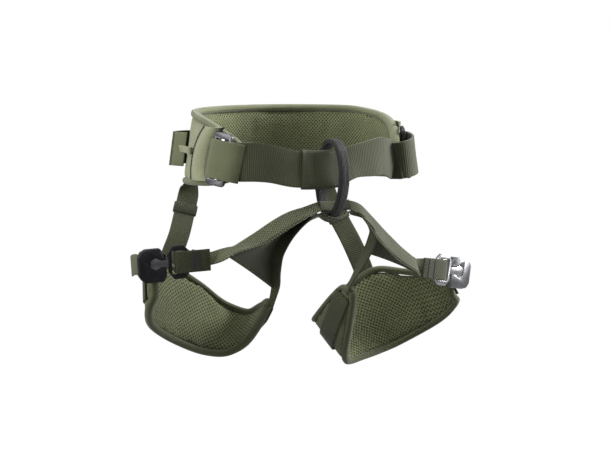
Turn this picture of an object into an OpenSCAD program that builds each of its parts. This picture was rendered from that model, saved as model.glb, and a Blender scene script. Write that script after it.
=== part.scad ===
// Tree climbing saddle: waist pad and belt, two leg loops with quick-release
// buckles, elevator straps with keepers, and a sewn belay loop at the front.
// Units are millimetres. The wearer faces -Y, +X is the wearer's left, +Z is up,
// and the origin is the centre of the waist opening.

/* [Shown piece] */
// Sub-part to draw, or all of them

/* [Overall] */
// Width of the waist ring, measured on the middle of the pad
waist_w = 246; // [200:1:320]
// Front-to-back depth of the waist ring, measured on the middle of the pad
waist_d = 230; // [180:1:300]
// Drop from the waist centre to the lowest part of the leg loops
leg_drop = 262; // [210:1:330]

/* [Waist pad] */
// Height of the waist pad at the back
pad_h = 89; // [70:1:120]
// Height of the waist pad at its front ends
pad_end_h = 38; // [30:1:60]
// How far each edge of the waist pad leans in at the top and out at the bottom
pad_lean = 6; // [0:0.5:10]
// Thickness of the waist pad
pad_t = 11; // [8:0.5:16]
// Angle from the middle of the back to each front end of the waist pad
pad_wrap = 126; // [110:1:135]
// Width of the edge binding tape on all the pads
bind_w = 5; // [3:0.5:8]

/* [Belt webbing] */
// Width of the front belt webbing
belt_w = 44; // [35:1:50]
// Thickness of the front belt webbing
belt_t = 2.6; // [1.8:0.1:4]
// Length of the cover sleeve along the belt
sleeve_len = 52; // [30:1:70]
// Height of the side slide adjusters on the belt
tri_h = 61; // [54:1:75]
// Length of the side slide adjusters along the belt
tri_l = 26; // [24:1:36]
// Thickness of the side slide adjusters
tri_t = 4; // [3:0.5:6]

/* [Belay loop] */
// Height of the belay loop from outside to outside
loop_h = 91; // [80:1:120]
// Depth of the belay loop from outside to outside
loop_d = 47; // [42:1:64]
// Width of the belay loop webbing
loop_w = 12; // [9:0.5:18]
// Thickness of the belay loop webbing
loop_t = 4.4; // [3:0.2:7]

/* [Leg loops] */
// Width of the leg and elevator webbing
web_w = 25; // [20:1:30]
// Thickness of the leg and elevator webbing
web_t = 1.8; // [1.2:0.1:2.6]
// Thickness of the leg pads
leg_t = 9; // [6:0.5:13]
// How much lower the wearer's left leg loop hangs than the right one
leg_offset = 29; // [0:1:40]
// Height of the elastic keepers on the elevator straps
keeper_h = 14; // [9:1:20]

/* [Leg buckles] */
// Length of the buckle body along the strap
body_l = 31; // [26:1:40]
// Height of the buckle body
body_h = 38; // [34:1:48]
// Thickness of the buckle body
body_t = 12; // [9:0.5:16]
// Size of the hexagonal stud head across its flats
hex_af = 12.6; // [9:0.2:15]
// Thickness of the stud head
hex_t = 4; // [3:0.5:6]
// Height of the neck between the stud and the adjuster frame
neck_h = 8; // [6:0.5:10]
// Length of the adjuster frame along the strap
frame_l = 23; // [20:1:28]
// Height of the adjuster frame
frame_h = 38; // [34:1:44]
// Thickness of the adjuster frame
frame_t = 5; // [4:0.5:7]
// Length of the folded strap tail that shows past the frame
tab_len = 20; // [15:1:40]

/* [Hip fittings] */
// Width of the gear loop webbing
gear_w = 40; // [30:1:50]
// Distance a gear loop stands off the pad
gear_off = 15; // [8:1:25]
// Height of the tool-slot panels
slot_h = 62; // [45:1:70]

/* [Hidden] */

$fn = 48;
gx = waist_w / 246;
gy = waist_d / 230;
gz = leg_drop / 262;
ring_a = waist_w / 2;
ring_b = waist_d / 2;
c_olive = [0.36, 0.38, 0.26];
c_light = [0.62, 0.64, 0.5];
c_mesh = [0.48, 0.52, 0.33];
c_foam = [0.2, 0.2, 0.2];
c_black = [0.13, 0.13, 0.14];
c_dark_metal = [0.3, 0.3, 0.31];
c_silver = [0.8, 0.8, 0.82];

// ---------- vector and curve helpers ----------
function unit(v) = v / max(norm(v), 1e-9);
function lerp(a, b, t) = a + (b - a) * t;
function at(P, i) = P[max(0, min(len(P) - 1, i))];
function cat(a, b, c, d, t) = 0.5 * (2 * b + (c - a) * t + (2 * a - 5 * b + 4 * c - d) * t * t
    + (3 * b - a - 3 * c + d) * t * t * t);
// A smooth curve through the points P, with n steps on each span
function smooth(P, n) = [for (i = [0 : len(P) - 2]) for (k = [0 : n - 1])
    cat(at(P, i - 1), P[i], P[i + 1], at(P, i + 2), k / n), P[len(P) - 1]];
function tangent(P, i) = unit(at(P, i + 1) - at(P, i - 1));
function ring_tangent(P, i) = unit(P[(i + 1) % len(P)] - P[(i + len(P) - 1) % len(P)]);
function mids(A, B) = [for (i = [0 : len(A) - 1]) (A[i] + B[i]) / 2];
function strip_n(A, B) = let (M = mids(A, B)) [for (i = [0 : len(A) - 1])
    unit(cross(tangent(M, i), B[i] - A[i]))];
function edge_in(A, B, d) = [for (i = [0 : len(A) - 1]) A[i] + unit(B[i] - A[i]) * d];
function part_of(P, i0, i1) = [for (i = [i0 : i1]) P[i]];

// ---------- solids swept from four-cornered sections ----------
module quad_sweep(S, closed) {
    n = len(S);
    last = closed ? n - 1 : n - 2;
    pts = [for (s = S) for (p = s) p];
    sides = [for (i = [0 : last]) for (j = [0 : 3]) for (k = [0, 1])
        let (a = 4 * i + j, b = 4 * i + (j + 1) % 4,
            c = 4 * ((i + 1) % n) + (j + 1) % 4, d = 4 * ((i + 1) % n) + j)
        j == 2 ? (k == 0 ? [a, d, b] : [b, d, c]) : (k == 0 ? [a, c, b] : [a, d, c])];
    e = 4 * (n - 1);
    caps = closed ? [] : [[0, 2, 3], [0, 1, 2], [e, e + 2, e + 1], [e, e + 3, e + 2]];
    polyhedron(points = pts, faces = concat(sides, caps), convexity = 8);
}
// A layer between edge curves A and B, from d0 to d1 along the strip's normal
module layer(A, B, d0, d1) {
    N = strip_n(A, B);
    quad_sweep([for (i = [0 : len(A) - 1])
        [A[i] + N[i] * d0, B[i] + N[i] * d0, B[i] + N[i] * d1, A[i] + N[i] * d1]], false);
}
// Webbing of width w and thickness t along path P, with width directions W
module webbing(P, W, w, t) {
    quad_sweep([for (i = [0 : len(P) - 1])
        let (T = tangent(P, i), U = unit(W[i] - T * (W[i] * T)), V = cross(T, U))
        [P[i] - U * w / 2 - V * t / 2, P[i] + U * w / 2 - V * t / 2,
            P[i] + U * w / 2 + V * t / 2, P[i] - U * w / 2 + V * t / 2]], false);
}
// The same, with a width for each point
module webbing_var(P, W, w, t) {
    quad_sweep([for (i = [0 : len(P) - 1])
        let (T = tangent(P, i), U = unit(W[i] - T * (W[i] * T)), V = cross(T, U))
        [P[i] - U * w[i] / 2 - V * t / 2, P[i] + U * w[i] / 2 - V * t / 2,
            P[i] + U * w[i] / 2 + V * t / 2, P[i] - U * w[i] / 2 + V * t / 2]], false);
}
// Tape round the outline of the strip between A and B
module edging(A, B, o0, o1, h) {
    N = strip_n(A, B);
    n = len(A);
    P = concat(A, [for (i = [n - 1 : -1 : 0]) B[i]]);
    NN = concat(N, [for (i = [n - 1 : -1 : 0]) N[i]]);
    quad_sweep([for (i = [0 : len(P) - 1])
        let (O = unit(cross(ring_tangent(P, i), NN[i])))
        [P[i] + O * o1 - NN[i] * h, P[i] + O * o0 - NN[i] * h,
            P[i] + O * o0 + NN[i] * h, P[i] + O * o1 + NN[i] * h]], true);
}

// ---------- waist pad ----------
// Point on the waist ring: f degrees from the back, v millimetres above the middle
function lean_at(v) = -pad_lean * v / 45;
function waist_pt(f, v, d) = let (a = ring_a + lean_at(v) + d, b = ring_b + lean_at(v) + d)
    [a * sin(f), b * cos(f), v];
function pad_top(f) = let (q = abs(f)) lookup(q, [[0, pad_h / 2 + 0.5], [64, pad_h / 2],
    [90, pad_h / 2 - 6], [104, pad_h / 2 - 13], [116, pad_h / 2 - 24],
    [pad_wrap, pad_end_h / 2 - 8]]);
function pad_bot(f) = let (q = abs(f)) lookup(q, [[0, -pad_h / 2], [64, -pad_h / 2],
    [104, -pad_h / 2 + 4], [116, -pad_h / 2 + 8], [pad_wrap, -pad_end_h / 2 - 9]]);
// Rounded ends: the outline closes over the last few degrees
function end_f(f) = let (q = pad_wrap - abs(f)) q >= 5 ? 1 : 0.55 + 0.45 * sqrt(1 - pow(1 - q / 5, 2));
function edge_v(f, top) = let (m = (pad_top(f) + pad_bot(f)) / 2,
    h = (pad_top(f) - pad_bot(f)) / 2 * end_f(f)) top ? m + h : m - h;
waist_f = concat([-pad_wrap, -pad_wrap + 1, -pad_wrap + 2.6, -pad_wrap + 5],
    [for (f = [-114 : 7.6 : 114.1]) f],
    [pad_wrap - 5, pad_wrap - 2.6, pad_wrap - 1, pad_wrap]);
waist_A = [for (f = waist_f) waist_pt(f, edge_v(f, true), 0)];
waist_B = [for (f = waist_f) waist_pt(f, edge_v(f, false), 0)];
w_A = edge_in(waist_A, waist_B, bind_w + 0.2);
w_B = edge_in(waist_B, waist_A, bind_w + 0.2);
pt = pad_t / 2;

module waist_shell() color(c_light) layer(w_A, w_B, pt - 2, pt);
module waist_load_web() color(c_olive) {
    f = [for (q = [-108 : 8 : 108.1]) q];
    A = [for (q = f) waist_pt(q, 18, pt - 3.2)];
    B = [for (q = f) waist_pt(q, -26, pt - 3.2)];
    layer(A, B, -0.8, 0.8);
}
module waist_foam() color(c_foam) layer(w_A, w_B, -pt + 2.3, pt - 4.4);
module waist_mesh() color(c_mesh) layer(w_A, w_B, -pt, -pt + 2);
module waist_binding() color(c_light) edging(w_A, w_B, 0.3, bind_w, pt + 0.3);

// ---------- hip fittings ----------
// A low arch of fabric on the pad between f0 and f1, standing h off it at its middle
module hip_arch(s, f0, f1, v0, v1, h, t) {
    q = [for (k = [0 : 8]) k / 8];
    d = [for (k = q) pt + 1.2 + t / 2 + h * sin(180 * k)];
    A = [for (k = [0 : 8]) waist_pt(s * lerp(f0, f1, q[k]), v1, d[k])];
    B = [for (k = [0 : 8]) waist_pt(s * lerp(f0, f1, q[k]), v0, d[k])];
    layer(B, A, -t / 2, t / 2);
}
module slot_panel(s) color(c_light) hip_arch(s, 90, 104.5, -slot_h / 2 - 3, slot_h / 2 - 3, 6.5, 2);
module gear_loop(s) color(c_olive) hip_arch(s, 52, 72, -gear_w / 2 - 2, gear_w / 2 - 2, gear_off, web_t);
module tape_loop(s) color(c_olive) hip_arch(s, 78.5, 88, -1, 8, 3.4, 1.4);
module slot_panel_left() slot_panel(1);
module slot_panel_right() slot_panel(-1);
module gear_loop_left() gear_loop(1);
module gear_loop_right() gear_loop(-1);
module tape_loop_left() tape_loop(1);
module tape_loop_right() tape_loop(-1);

// ---------- side slide adjusters ----------
tri_f = 114;
tri_v = -8;
tri_lean = -8;
tri_tilt = 8;
tri_base = pt + 3.4 + tri_t / 2;
tri_n = unit([sin(tri_f) / ring_a, cos(tri_f) / ring_b, 0]);
tri_p = waist_pt(tri_f, tri_v, 0) + tri_n * tri_base;
tri_yaw = atan2(tri_n[1], tri_n[0]);
tri_win = belt_w / 2 + 1.5;
// Local frame: x along the belt towards the back, y up, z out of the pad
module on_belt_side(s) {
    mirror([s < 0 ? 1 : 0, 0, 0]) translate(tri_p) rotate([0, 0, tri_yaw])
        rotate([0, tri_lean, 0]) rotate([90, 0, 90]) rotate([0, 0, tri_tilt]) children();
}
// The same frame as a function, for the webbing that runs through the adjuster
function tri_dir(s, p) = let (a = p[0] * cos(tri_tilt) - p[1] * sin(tri_tilt),
    b = p[0] * sin(tri_tilt) + p[1] * cos(tri_tilt),
    u = p[2] * cos(tri_lean) + b * sin(tri_lean), w = b * cos(tri_lean) - p[2] * sin(tri_lean))
    [s * (u * tri_n[0] - a * tri_n[1]), u * tri_n[1] + a * tri_n[0], w];
function tri_pt(s, p) = [s * tri_p[0], tri_p[1], tri_p[2]] + tri_dir(s, p);
module belt_frame_shape() color(c_dark_metal) difference() {
    linear_extrude(tri_t, center = true) difference() {
        offset(r = 5) square([tri_l - 10, tri_h - 10], center = true);
        square([tri_l - 8, 2 * tri_win], center = true);
    }
    translate([-4.6, -tri_win - 3, -1.2]) cube([9.2, 2 * tri_win + 6, 2.4]);
}
module belt_bar_shape() color(c_silver) {
    cube([5, 2 * tri_win - 0.4, 3], center = true);
    cube([4.6, 2 * tri_win + 5, 1.8], center = true);
}
module belt_frame_left() on_belt_side(1) belt_frame_shape();
module belt_frame_right() on_belt_side(-1) belt_frame_shape();
module belt_bar_left() on_belt_side(1) belt_bar_shape();
module belt_bar_right() on_belt_side(-1) belt_bar_shape();

// ---------- front belt and sleeve ----------
// The webbing comes from the front over each adjuster, round its back rail and under it
tail_in = [[5, -3.9], [10, -3.9], [14, -3], [tri_l / 2 + 3, 0], [14, 3.4], [9, 4.7], [0, 5]];
tail_l = concat(tail_in, [[-11, 4.4]]);
tail_r = concat(tail_in, [[-13, 6.2], [-29, 1]]);
front_keys = [[-112, -75.5, -10], [-95, -86, -10], [-76, -93.5, -13], [-52, -99, -19],
    [-26, -102, -20.5], [0, -103, -20], [26, -102, -15], [52, -97, -11.7], [72, -89.5, -9.3],
    [88, -82, -8]];
// How far the top edge of the belt leans towards the wearer, and its share of full width
front_tilt = [0.02, 0.05, 0.1, 0.18, 0.2, 0.18, 0.1, 0.08, 0.04, 0];
front_w = [1, 0.97, 0.92, 0.84, 0.8, 0.8, 0.88, 0.91, 0.97, 1];
belt_keys = concat([for (p = tail_l) tri_pt(-1, [p[0], 0, p[1]])],
    [for (p = front_keys) [p[0] * gx, p[1] * gy, p[2]]],
    [for (i = [len(tail_r) - 1 : -1 : 0]) tri_pt(1, [tail_r[i][0], 0, tail_r[i][1]])]);
belt_P = smooth(belt_keys, 4);
belt_W = smooth(concat([for (p = tail_l) tri_dir(-1, [0, 1, 0])], [for (k = front_tilt) [0, k, 1]],
    [for (p = tail_r) tri_dir(1, [0, 1, 0])]), 4);
belt_ws = smooth(concat([for (p = tail_l) 1], front_w, [for (p = tail_r) 1]), 4) * belt_w;
module belt_web() color(c_olive) webbing_var(belt_P, belt_W, belt_ws, belt_t);
module belt_sleeve() color(c_olive) {
    n = [for (i = [0 : len(belt_P) - 1]) if (abs(belt_P[i][0] + 20 * gx) < sleeve_len / 2 + 1) i];
    P = part_of(belt_P, n[0], n[len(n) - 1]);
    W = part_of(belt_W, n[0], n[len(n) - 1]);
    w = part_of(belt_ws, n[0], n[len(n) - 1]);
    m0 = n[0] - 2;
    m1 = n[len(n) - 1] + 2;
    difference() {
        webbing_var(P, W, [for (q = w) q + 4.4], belt_t + 4.2);
        webbing_var(part_of(belt_P, m0, m1), part_of(belt_W, m0, m1),
            [for (i = [m0 : m1]) belt_ws[i] + 0.8], belt_t + 0.8);
    }
}

// ---------- belay loop ----------
loop_c = [-3, -99 * gy, -30.8];
loop_yaw = 11;
loop_tilt = 4;
module loop_outline() scale([loop_d / loop_h, 1]) circle(loop_h / 2, $fn = 72);
module belay_loop() color(c_black) translate(loop_c) rotate([0, 0, loop_yaw]) rotate([90, 0, 90])
    rotate([0, 0, loop_tilt]) linear_extrude(loop_w, center = true) difference() {
        loop_outline();
        offset(delta = -loop_t) loop_outline();
    }

// ---------- crotch bridge ----------
bridge_keys = [[-20, -99.5, -62], [-8, -97.6, -63.3], [0, -97, -63.6], [8, -97.6, -63.3],
    [20, -99.5, -62]];
bridge_P = [for (p = smooth(bridge_keys, 3)) [p[0] * gx, p[1] * gy, p[2]]];
module crotch_bridge() color(c_olive)
    webbing(bridge_P, [for (p = bridge_P) [0, 0.3, 1]], 12, 4.6);
// Webbing that joins the two inner webs and passes below the belay loop
wrap_keys = [[-19.5, -98, -71.6], [-11, -98.7, -77.2], [-3, -98.7, -79.2], [5, -98.7, -79],
    [12, -98.2, -75.2], [19.5, -98, -71]];
module crotch_wrap() color(c_olive) {
    P = [for (p = smooth(wrap_keys, 3)) [p[0] * gx, p[1] * gy, p[2]]];
    webbing_var(P, [for (p = P) [0, 1, -0.42]], smooth([11, 15, 17, 17, 15, 11], 3), 2);
}

// ---------- leg loops ----------
// s is 1 for the wearer's left and -1 for the right; each loop hangs at its own height
function drop(s) = -s * leg_offset / 2;
function leg_pt(s, p) = [s * p[0] * gx, p[1] * gy, (p[2] + drop(s)) * gz];
function leg_line(s, P, n) = [for (p = smooth(P, n)) leg_pt(s, p)];
// The upper edge runs from the outer end behind the buckle round the back to the crotch
edge_hi_r = [[197, -29, -149], [194, -8, -150], [168, 34, -149], [142, 49, -151], [97, 59, -178],
    [70, 57, -200], [51, 51, -210], [41, 36, -213], [39, 16, -203], [44, -12, -190], [50, -34, -176]];
edge_lo_r = [[199, -39, -182], [203, -32, -193], [192, -9, -215], [163, 13, -236], [123, 26, -256],
    [98, 28, -264], [78, 25, -265], [62, 10, -252], [54, -10, -226], [52, -28, -202], [53, -44, -182]];
edge_hi_l = [[197, -27.5, -149], [196, -6, -149], [171, 35, -148], [143, 50, -144], [120, 59, -157],
    [92, 66, -180], [64, 60, -199], [49, 42, -200], [46, 22, -188], [47, -2, -170], [50, -26, -153]];
edge_lo_l = [[202, -36.5, -181], [214, -32, -186], [206, -8, -211], [166, 22, -241], [136, 27, -252],
    [107, 19, -256], [80, 5, -256], [68, -10, -242], [62, -28, -216], [58, -44, -184], [55, -53, -160]];
function leg_hi(s) = leg_line(s, s > 0 ? edge_hi_l : edge_hi_r, 3);
function leg_lo(s) = leg_line(s, s > 0 ? edge_lo_l : edge_lo_r, 3);
lt = leg_t / 2;
// The normal of the strip points away from the leg on both sides when the edges swap
function leg_a(s) = s > 0 ? leg_lo(s) : leg_hi(s);
function leg_b(s) = s > 0 ? leg_hi(s) : leg_lo(s);
module leg_layer(s, d0, d1, inset) {
    A = leg_a(s);
    B = leg_b(s);
    layer(edge_in(A, B, inset), edge_in(B, A, inset), d0, d1);
}
module leg_shell(s) color(c_light) leg_layer(s, lt - 1.8, lt, bind_w + 0.2);
module leg_foam(s) color(c_foam) leg_layer(s, -lt + 2.1, lt - 2.1, bind_w + 0.2);
module leg_mesh(s) color(c_mesh) leg_layer(s, -lt, -lt + 1.8, bind_w + 0.2);
module leg_binding(s) color(c_olive) {
    A = leg_a(s);
    B = leg_b(s);
    edging(edge_in(A, B, bind_w + 0.2), edge_in(B, A, bind_w + 0.2), 0.3, bind_w, lt + 0.3);
}
module leg_outer_web(s) color(c_olive) {
    A = part_of(leg_a(s), 2, 29);
    B = part_of(leg_b(s), 2, 29);
    d = lt + 0.6 + web_t / 2;
    n = len(A);
    w = [for (i = [0 : n - 1]) min(web_w / 2, norm(A[i] - B[i]) / 2 - bind_w + 4)];
    N = strip_n(A, B);
    M = mids(A, B);
    AA = [for (i = [0 : n - 1]) M[i] + unit(A[i] - B[i]) * w[i] + N[i] * d];
    BB = [for (i = [0 : n - 1]) M[i] - unit(A[i] - B[i]) * w[i] + N[i] * d];
    layer(AA, BB, -web_t / 2, web_t / 2);
}
module leg_shell_left() leg_shell(1);
module leg_shell_right() leg_shell(-1);
module leg_foam_left() leg_foam(1);
module leg_foam_right() leg_foam(-1);
module leg_mesh_left() leg_mesh(1);
module leg_mesh_right() leg_mesh(-1);
module leg_binding_left() leg_binding(1);
module leg_binding_right() leg_binding(-1);
module leg_outer_web_left() leg_outer_web(1);
module leg_outer_web_right() leg_outer_web(-1);

// ---------- leg buckles ----------
// Local frame: x out along the strap, y up, z out of the face; origin at the stud head
bk_yaw = 11;
function bk_roll(s) = s > 0 ? 9 : 3;
function bk_o(s) = [202, -48, s > 0 ? -143 : -138];
function bk_pt(s, p) = let (c = cos(bk_roll(s)), n = sin(bk_roll(s)), a = p[0] * c + p[1] * n,
    b = -p[0] * n + p[1] * c, cy = cos(bk_yaw), sy = sin(bk_yaw), o = leg_pt(s, bk_o(s)))
    [o[0] + s * (a * cy + p[2] * sy), o[1] + a * sy - p[2] * cy, o[2] + b];
module on_buckle(s) {
    o = leg_pt(1, bk_o(1));
    z = leg_pt(s, bk_o(s))[2];
    mirror([s < 0 ? 1 : 0, 0, 0]) translate([o[0], o[1], z]) rotate([0, 0, bk_yaw])
        rotate([90, 0, 0]) rotate([0, 0, -bk_roll(s)]) children();
}
hex_r = hex_af / 2 / cos(30);
body_x0 = -12;
body_y0 = -body_h * 0.56;
body_y1 = body_y0 + body_h;
body_x1 = body_x0 + body_l;
face_z = hex_t / 2 + 0.4;
back_z = face_z - body_t;
module body_outline() polygon([[body_x0, body_y1 - 8], [body_x0 + 6, body_y1],
    [body_x1 - 9, body_y1], [body_x1 - 3, body_y1 - 3], [body_x1, body_y1 - 9],
    [body_x1, body_y0 + 8], [body_x1 - 3, body_y0 + 3], [body_x1 - 8, body_y0],
    [body_x0 + 4, body_y0], [body_x0, body_y0 + 7]]);
module buckle_body_shape(c) color(c) difference() {
    translate([0, 0, back_z]) linear_extrude(body_t) body_outline();
    // pocket for the stud head, with a channel for the neck towards the frame
    translate([0, 0, -hex_t / 2 - 0.4]) rotate([0, 0, 30])
        cylinder(h = body_t, r = hex_r + 0.7, $fn = 6);
    translate([body_x0 - 1, -neck_h / 2 - 0.6, -hex_t / 2 - 0.4]) cube([-body_x0 + 2, neck_h + 1.2, body_t]);
    // sloping faces above and below the channel
    translate([body_x0 - 1, neck_h / 2 + 3, face_z - 2.6]) rotate([0, -18, 0])
        cube([14, body_y1, 8]);
    translate([body_x0 - 1, body_y0 - 1, face_z - 3]) rotate([18, 0, 0]) translate([0, -9, 0])
        cube([body_l + 4, 12, 8]);
    // slot and bore for the anchor webbing and its bar
    translate([body_x1 - 10.5, -web_w / 2 - 1, back_z - 1]) cube([6.5, web_w + 2, 7.5]);
    translate([body_x1 - 7.2, body_y1 + 1, back_z + 3.6]) rotate([90, 0, 0]) cylinder(h = body_h + 2, d = 3.4);
}
module anchor_bar_shape() color(c_silver) translate([body_x1 - 7.2, body_y1 - 2.6, back_z + 3.6])
    rotate([90, 0, 0]) cylinder(h = body_h - 5.2, d = 3);
module stud_frame_shape(c) color(c) {
    x1 = body_x0 - 2.6;
    x0 = x1 - frame_l;
    h = frame_h / 2;
    rotate([0, 0, 30]) cylinder(h = hex_t, r = hex_r, center = true, $fn = 6);
    translate([x1 - 1, -neck_h / 2, -hex_t / 2]) cube([-x1 + 1, neck_h, hex_t]);
    difference() {
        linear_extrude(frame_t, center = true) difference() {
            polygon([[x0, 5 - h], [x0 + 5, -h], [x1 - 6, -h], [x1, 8 - h],
                [x1, h - 8], [x1 - 6, h], [x0 + 5, h], [x0, h - 5]]);
            translate([x0 + 3.6, -web_w / 2 - 1]) square([frame_l - 7.4, web_w + 2]);
        }
        translate([x0 + 5.4, -web_w / 2 - 3.2, -1.3]) cube([frame_l - 9.2, web_w + 6.4, 2.6]);
    }
}
bar_x = body_x0 - 2.6 - frame_l * 0.55;
module strap_bar_shape() color(c_silver) translate([bar_x, 0, 0]) {
    cube([5, web_w + 1.2, 3], center = true);
    cube([4.6, web_w + 5, 1.9], center = true);
}
fold_r = 2.1;
fold_x = body_x0 - 2.6 - frame_l;
module strap_fold_shape() color(c_olive) {
    r = fold_r + web_t / 2;
    x = fold_x - bar_x;
    // behind the frame's rail, round the bar, then over the rail and on as the loose tab
    Q = concat([[x - 3, -3 - web_t / 2], [-4, -3 - web_t / 2]],
        [for (a = [-90 : 30 : 90]) [1.6 + r * cos(a), r * sin(a)]],
        [[-4, 3 + web_t / 2], [x - tab_len, 3.2 + web_t / 2]]);
    webbing([for (q = Q) [bar_x + q[0], 0, q[1]]], [for (q = Q) [0, 1, 0]], web_w, web_t);
}
module anchor_web(s) color(c_olive) {
    x = body_x1 - 7.2;
    P = [bk_pt(s, [x + 2, -2, back_z - 3.4]), leg_pt(s, [212, -12, s > 0 ? -148 : -142])];
    webbing(P, [for (p = P) [0, 0.05, 1]], web_w - 1, web_t);
}
module buckle_body_left() on_buckle(1) buckle_body_shape(c_silver);
module buckle_body_right() on_buckle(-1) buckle_body_shape(c_dark_metal);
module anchor_bar_left() on_buckle(1) anchor_bar_shape();
module anchor_bar_right() on_buckle(-1) anchor_bar_shape();
module anchor_web_left() anchor_web(1);
module anchor_web_right() anchor_web(-1);
module stud_frame_left() on_buckle(1) stud_frame_shape(c_silver);
module stud_frame_right() on_buckle(-1) stud_frame_shape(c_dark_metal);
module strap_bar_left() on_buckle(1) strap_bar_shape();
module strap_bar_right() on_buckle(-1) strap_bar_shape();
module strap_fold_left() on_buckle(1) strap_fold_shape();
module strap_fold_right() on_buckle(-1) strap_fold_shape();

// ---------- leg webbing in front ----------
function strap_P(s) = let (e = fold_x - 6, d = drop(s))
    smooth([leg_pt(s, [19, -99.5, -62 - d]), leg_pt(s, [38, -103.5, -67 - d]),
        leg_pt(s, [62, -99, -83 - d * 0.6]), leg_pt(s, [95, -91, -107.5 - d * 0.3]),
        leg_pt(s, [122, -83, -124]), bk_pt(s, [e - 21, 0, -4.2]), bk_pt(s, [e, 0, -3.9])], 4);
function strap_W() = smooth([[0, 0.5, 1], [0, 0.8, 0.7], [0, 0.87, 0.48], [0, 0.87, 0.48],
    [0, 0.9, 0.35], [0, 0.7, 0.8], [0, 0, 1]], 4);
function strap_w() = smooth([11, 15, web_w, web_w, web_w, web_w, web_w], 4);
// Points along one long edge of a webbing, moved by off through its thickness
function web_edge(P, W, w, side, off) = [for (i = [0 : len(P) - 1])
    let (T = tangent(P, i), U = unit(W[i] - T * (W[i] * T))) P[i] + U * w[i] * side + cross(T, U) * off];
module leg_strap(s) color(c_olive) webbing_var(strap_P(s), strap_W(), strap_w(), web_t);
function inner_P(s) = let (d = drop(s))
    smooth([leg_pt(s, [20.5, -98, -71.4 - d]), leg_pt(s, [38, -101, -77.5 - d]),
        leg_pt(s, [56, -90.5, -96 - d]), leg_pt(s, [61, -76, -114 - d]), leg_pt(s, [57, -62, -137 - d]),
        leg_pt(s, [51, -49, -160 - d]), leg_pt(s, [50, -40, -170 - d])], 4);
function inner_W() = smooth([[0.2, 1, 0.3], [0.3, 1, 0.2], [0.2, 1, 0.1], [0.15, 1, 0.3],
    [0.2, 1, 0.2], [0.2, 1, -0.2], [0, 1, -0.5]], 4);
function inner_w() = smooth([11, 15, web_w - 5, web_w - 3, web_w - 5, 14, 11], 4);
module leg_inner_web(s) color(c_olive) webbing_var(inner_P(s), inner_W(), inner_w(), web_t);
module gusset(s) color(c_olive) {
    // One edge lies under the strap's lower edge, the other against the inner webbing
    A = part_of(web_edge(strap_P(s), strap_W(), strap_w(), -0.36, s * (web_t / 2 + 0.9)), 8, 17);
    B = part_of(web_edge(inner_P(s), inner_W(), inner_w(), 0.36, -s * (web_t / 2 + 0.9)), 8, 17);
    layer(A, B, -0.5, 0.5);
}
module leg_strap_left() leg_strap(1);
module leg_strap_right() leg_strap(-1);
module leg_inner_web_left() leg_inner_web(1);
module leg_inner_web_right() leg_inner_web(-1);
module gusset_left() gusset(1);
module gusset_right() gusset(-1);

// ---------- elevator straps ----------
// The top ends lie flat on the back of the waist pad, then the straps turn to face forward
elev_f = 43;
elev_d = pt + 0.9 + web_t / 2;
function mir(s, p) = [s * p[0], p[1], p[2]];
function elev_keys(s) = concat([for (v = [-12, -26, -40]) mir(s, waist_pt(elev_f, v, elev_d))],
    [for (p = [[93, 96, -56 - drop(s)], [s > 0 ? 101 : 104, 84, -82 - drop(s) * 0.7],
        [s > 0 ? 115 : 121, 65, -116 - drop(s) * 0.3], [s > 0 ? 128 : 134, 59, -144],
        [s > 0 ? 132 : 138, 58, -158]]) leg_pt(s, p)]);
function elev_P(s) = smooth(elev_keys(s), 4);
elev_flat = unit([ring_a * cos(elev_f), -ring_b * sin(elev_f), 0]);
function elev_W(s) = [for (i = [0 : len(elev_P(s)) - 1])
    let (t = max(0, min(1, (i - 8) / 6)), a = mir(s, elev_flat) * s) lerp(a, [0.95, -0.25, 0], t)];
module elevator(s) color(c_olive) webbing(elev_P(s), elev_W(s), web_w, web_t);
module keeper(s) color(c_olive) {
    P = elev_P(s);
    W = elev_W(s);
    k = s > 0 ? 17 : 16;
    c = P[k];
    T = unit(P[k + 1] - P[k - 1]);
    U = unit(W[k] - T * (W[k] * T));
    difference() {
        webbing([c - T * keeper_h / 2, c + T * keeper_h / 2], [U, U], web_w + 5, web_t + 4.4);
        webbing([c - T * keeper_h, c + T * keeper_h], [U, U], web_w + 2, web_t + 2);
    }
}
module elevator_left() elevator(1);
module elevator_right() elevator(-1);
module keeper_left() keeper(1);
module keeper_right() keeper(-1);

waist_shell();
waist_foam();
waist_mesh();
waist_binding();
waist_load_web();
slot_panel_left();
slot_panel_right();
gear_loop_left();
gear_loop_right();
tape_loop_left();
tape_loop_right();
belt_web();
belt_sleeve();
belt_frame_left();
belt_frame_right();
belt_bar_left();
belt_bar_right();
belay_loop();
crotch_bridge();
crotch_wrap();
elevator_left();
elevator_right();
keeper_left();
keeper_right();
leg_shell_left();
leg_shell_right();
leg_foam_left();
leg_foam_right();
leg_mesh_left();
leg_mesh_right();
leg_binding_left();
leg_binding_right();
leg_outer_web_left();
leg_outer_web_right();
leg_inner_web_left();
leg_inner_web_right();
leg_strap_left();
leg_strap_right();
gusset_left();
gusset_right();
buckle_body_left();
buckle_body_right();
anchor_bar_left();
anchor_bar_right();
anchor_web_left();
anchor_web_right();
stud_frame_left();
stud_frame_right();
strap_bar_left();
strap_bar_right();
strap_fold_left();
strap_fold_right();
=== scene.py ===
import math

import bpy
import numpy as np
from mathutils import Matrix, Vector


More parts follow.
